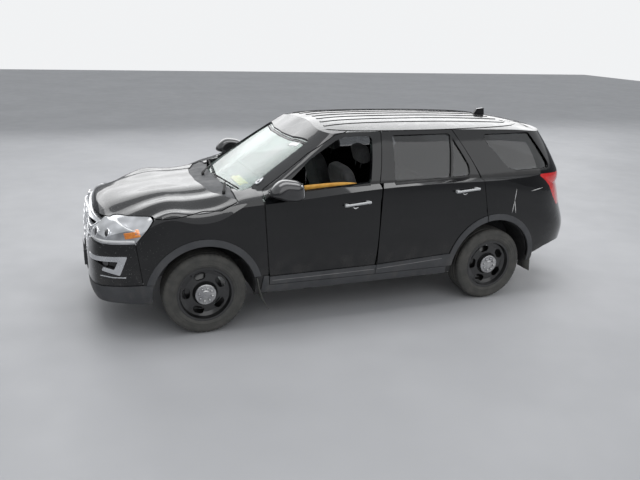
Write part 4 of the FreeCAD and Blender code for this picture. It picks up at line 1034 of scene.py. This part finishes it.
def dash_cover(bundle):
    """A yellow cover lying on the dash under the windscreen."""
    tree = skin_of("dashboard")
    _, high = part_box("dashboard")
    rows = []
    for i in range(9):
        row = []
        for j in range(19):
            x = high[0] - 0.012 - COVER_DEPTH * i / 8
            y = between(COVER_Y, j / 18)
            found, _ = on_skin(tree, "top", x, y)
            top = high[2] if found is None else found.z
            row.append(Vector((x, y, top + 0.006 + 0.003 * math.sin(j * 1.3 + i * 0.7))))
        rows.append(row + [point - Vector((0, 0, 0.003)) for point in reversed(row)])
    bundle.grid(rows)


# Each wiper: where its spindle stands on the cowl, and where its arm holds the blade.
WIPER_ARMS = (((1.335, 0.64), (1.248, 0.33)), ((1.38, -0.06), (1.246, -0.33)))
SPINDLE_PROFILE = [(0, 0.015), (0.032, 0.014), (0.037, 0.009), (0.038, 0.001)]


def wiper_arms(bundle):
    """The spindles and tapered arms that carry the blades."""
    up = Vector((0, 0, 1))
    for foot, grip in WIPER_ARMS:
        base, _ = on_skin(skin_of("cowl_panel", "windscreen"), "top", *foot)
        hold, _ = on_skin(skin_of("wipers"), "top", *grip)
        if base is None or hold is None:
            continue
        bundle.lathe(base - up * 0.006, up, SPINDLE_PROFILE, 24)
        start, end = base + up * 0.026, hold + up * 0.001
        across = (end - start).cross(up).normalized()
        rows = []
        for k in range(13):
            share = k / 12
            middle = start.lerp(end, share) + up * (0.012 * math.sin(math.pi * share))
            half = across * (0.010 - 0.005 * share)
            tall = up * (0.005 - 0.002 * share)
            rows.append([middle + half - tall, middle + half + tall,
                         middle - half + tall, middle - half - tall])
        bundle.grid(rows)


# The scratches on the left quarter panel, and last a level pale line that is a painted highlight: x and z.
SCRATCHES_AND_HIGHLIGHT = ([(-1.512, 1.13), (-1.503, 1.06), (-1.497, 1.005)],
             [(-1.499, 1.015), (-1.488, 0.95), (-1.477, 0.892)],
             [(-1.499, 1.015), (-1.512, 0.95), (-1.525, 0.885)],
             [(-1.70, 1.096), (-1.78, 1.106), (-1.86, 1.116)])


# Pale scratches, and one level pale line that is a painted highlight.
def scuffs_and_highlight(bundle):
    for line in SCRATCHES_AND_HIGHLIGHT:
        ribbon(bundle, ("body_side_left",), "left", line, 0.009, lift=0.0004, thick=0.0008, step=0.008,
               taper=True)


PLACES = ("front_left", "front_right", "rear_left", "rear_right")


def add_mud_flaps():
    """The four flaps, in place of the plain ones."""
    both("mud_flap_front", lambda bundle: mud_flap(bundle, FRONT_FLAP), "flap", "body", "flap_rubber")
    both("mud_flap_rear", lambda bundle: mud_flap(bundle, REAR_FLAP), "flap", "body", "flap_rubber")
    for place in PLACES:
        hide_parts("mud_flaps")


def add_door_lines(door):
    """What is drawn along the left and the right door of a row."""
    body = "door_%s_{side}" % door
    # The handle's crescent is a painted highlight in the white finish.
    both("handle_crescent_" + door, lambda bundle: handle_crescent(bundle, door), "white", body,
         "gloss_black")
    both("sill_groove_" + door, lambda bundle: sill_groove_highlight(bundle, door), "groove", body, "dark_trim")
    both("window_band_" + door, lambda bundle: window_band(bundle, door), "black", body, "dark_trim")


def add_pairs():
    """What stands on both sides of the car."""
    both("headlamp_strip", lamp_strip, "white", "body", "lamp_glass")
    both("headlamp_marker", lamp_marker, "amber", "body", "lamp_glass")
    both("seam_backing", seam_backing, "black", "body", "dark_trim")
    both("roof_corner", roof_corner, "paint", "body", "paint")
    add_mud_flaps()
    both("headlamp_rims", lambda bundle: lamp_bowls(bundle, RIM_PROFILE), "chrome", "body", "lamp_glass")
    both("headlamp_balls", lambda bundle: lamp_bowls(bundle, BALL_PROFILE), "gloss_black", "body",
         "lamp_glass")
    both("bumper_strake", bumper_strake, "silver", "body", "grille_metal")
    both("fog_lamp", fog_lamp, "gloss_black", "body", "lamp_glass")
    for door in ("front", "rear"):
        add_door_lines(door)
    both("window_backing", window_backing, "black", "door_rear_{side}", "dark_trim")
    both("mirror_glass", mirror_pane, "chrome", "door_front_{side}", "gloss_black")


def add_single(name, maker, finish, body, slot, smooth=True):
    """One piece, unless the skin that it follows isn't met."""
    bundle = Bundle()
    maker(bundle)
    if bundle.verts:
        bundle.piece(name, finish, body, slot, smooth)


def add_singles():
    """What the car has once."""
    add_single("grille_mesh", grille_back, "black", "body", "dark_trim", False)
    add_single("intake_mesh", intake_back, "black", "body", "dark_trim", False)
    add_single("window_board", yellow_sill, "yellow", "door_front_left", "cabin_trim")
    add_single("pillar_lamp_ring", lambda bundle: pillar_lamp_foot(bundle, FOOT_RING), "silver", "body",
               "grille_metal")
    add_single("pillar_lamp_hole", lambda bundle: pillar_lamp_foot(bundle, FOOT_HOLE), "black", "body",
               "dark_trim")
    add_single("dash_parts", dash_details, "cabin", "body", "cabin_trim")
    add_single("dash_cover", dash_cover, "lime", "body", "cabin_trim")
    add_single("wiper_arms", wiper_arms, "black", "body", "dark_trim")
    add_single("windscreen_border", screen_frit, "frit", "body", "dark_trim")
    add_single("windscreen_sticker", screen_sticker, "white", "body", "dark_trim")
    add_single("quarter_scuffs_and_highlight", scuffs_and_highlight, "scuff", "body", "paint")
    add_single("rear_plate", rear_plate, "white", "liftgate", "gloss_black")
    add_single("front_plate", front_plate, "white", "body", "gloss_black")


def add_piece_set():
    for place in PLACES:
        add_tyre(place)
        add_cap(place)
    add_pairs()
    add_singles()
    add_seats()


# Floor and light


FLOOR_SIZE = 60


def add_floor():
    bpy.ops.mesh.primitive_plane_add(size=FLOOR_SIZE)
    floor = bpy.context.object
    floor.name = "studio_floor"
    finish = Finish("pale_floor", (0.4, 0.405, 0.42), 0.5)
    finish.vary(0.6, (0.44, 0.445, 0.46))
    finish.worn(3, 0.45, 0.6)
    floor.data.materials.append(finish.material)


# The room that the paint mirrors: height of the view direction and colour.
ROOM = ((0.0, (0.16, 0.165, 0.175)), (0.2, (0.14, 0.145, 0.155)), (0.24, (0.86, 0.88, 0.9)),
        (0.6, (0.74, 0.76, 0.78)), (1.0, (0.95, 0.97, 1.0)))
ROOM_STRENGTH = 0.65
# What the camera sees beyond the floor.
BACKDROP = (0.88, 0.89, 0.9, 1)


def add_world():
    """A white room with a darker band low round its walls for the paint to mirror, pale to the camera."""
    world = bpy.data.worlds.new("studio")
    scene.world = world
    world.use_nodes = True
    tree = world.node_tree
    place = tree.nodes.new("ShaderNodeTexCoord")
    split = tree.nodes.new("ShaderNodeSeparateXYZ")
    ramp = tree.nodes.new("ShaderNodeValToRGB")
    shade = tree.nodes["Background"]
    tree.links.new(place.outputs["Generated"], split.inputs[0])
    tree.links.new(split.outputs["Z"], ramp.inputs["Fac"])
    tree.links.new(ramp.outputs["Color"], shade.inputs["Color"])
    shade.inputs["Strength"].default_value = ROOM_STRENGTH
    stops = ramp.color_ramp.elements
    stops[1].position = 1.0
    while len(stops) < len(ROOM):
        stops.new(0.5)
    for stop, (position, color) in zip(stops, ROOM):
        stop.position = position
        stop.color = (*color, 1)
    mirrored_room = tree.nodes.new("ShaderNodeBackground")
    tree.links.new(ramp.outputs["Color"], mirrored_room.inputs["Color"])
    pale = tree.nodes.new("ShaderNodeBackground")
    pale.inputs["Color"].default_value = BACKDROP
    paths = tree.nodes.new("ShaderNodeLightPath")
    last = shade.outputs["Background"]
    for ray, background in (("Is Glossy Ray", mirrored_room), ("Is Camera Ray", pale)):
        join = tree.nodes.new("ShaderNodeMixShader")
        tree.links.new(paths.outputs[ray], join.inputs["Fac"])
        tree.links.new(last, join.inputs[1])
        tree.links.new(background.outputs["Background"], join.inputs[2])
        last = join.outputs["Shader"]
    tree.links.new(last, tree.nodes["World Output"].inputs["Surface"])


# Each lamp: its name, its place, where it points, its size and its power.
LAMPS = (("ceiling", (0, 0.3, 5.5), (0, 0, 0), (8, 2.4), 190),
         ("near_wall", (-3, 9.5, 6.6), (-3, 0, 3), (22, 9), 500),
         ("far_wall", (-3.5, -8.5, 5.2), (-3.5, 0, 1), (18, 6.4), 560))


def add_lamp(name, place, target, size, power):
    data = bpy.data.lights.new(name, "AREA")
    data.shape = "RECTANGLE"
    data.size, data.size_y = size
    data.energy = power
    lamp = bpy.data.objects.new(name, data)
    lamp.location = place
    lamp.rotation_euler = (Vector(target) - Vector(place)).to_track_quat("-Z", "Y").to_euler()
    scene.collection.objects.link(lamp)


scene.view_settings.view_transform = "Standard"
add_camera()
dress_nodes()
add_piece_set()
add_floor()
add_world()
for lamp in LAMPS:
    add_lamp(*lamp)
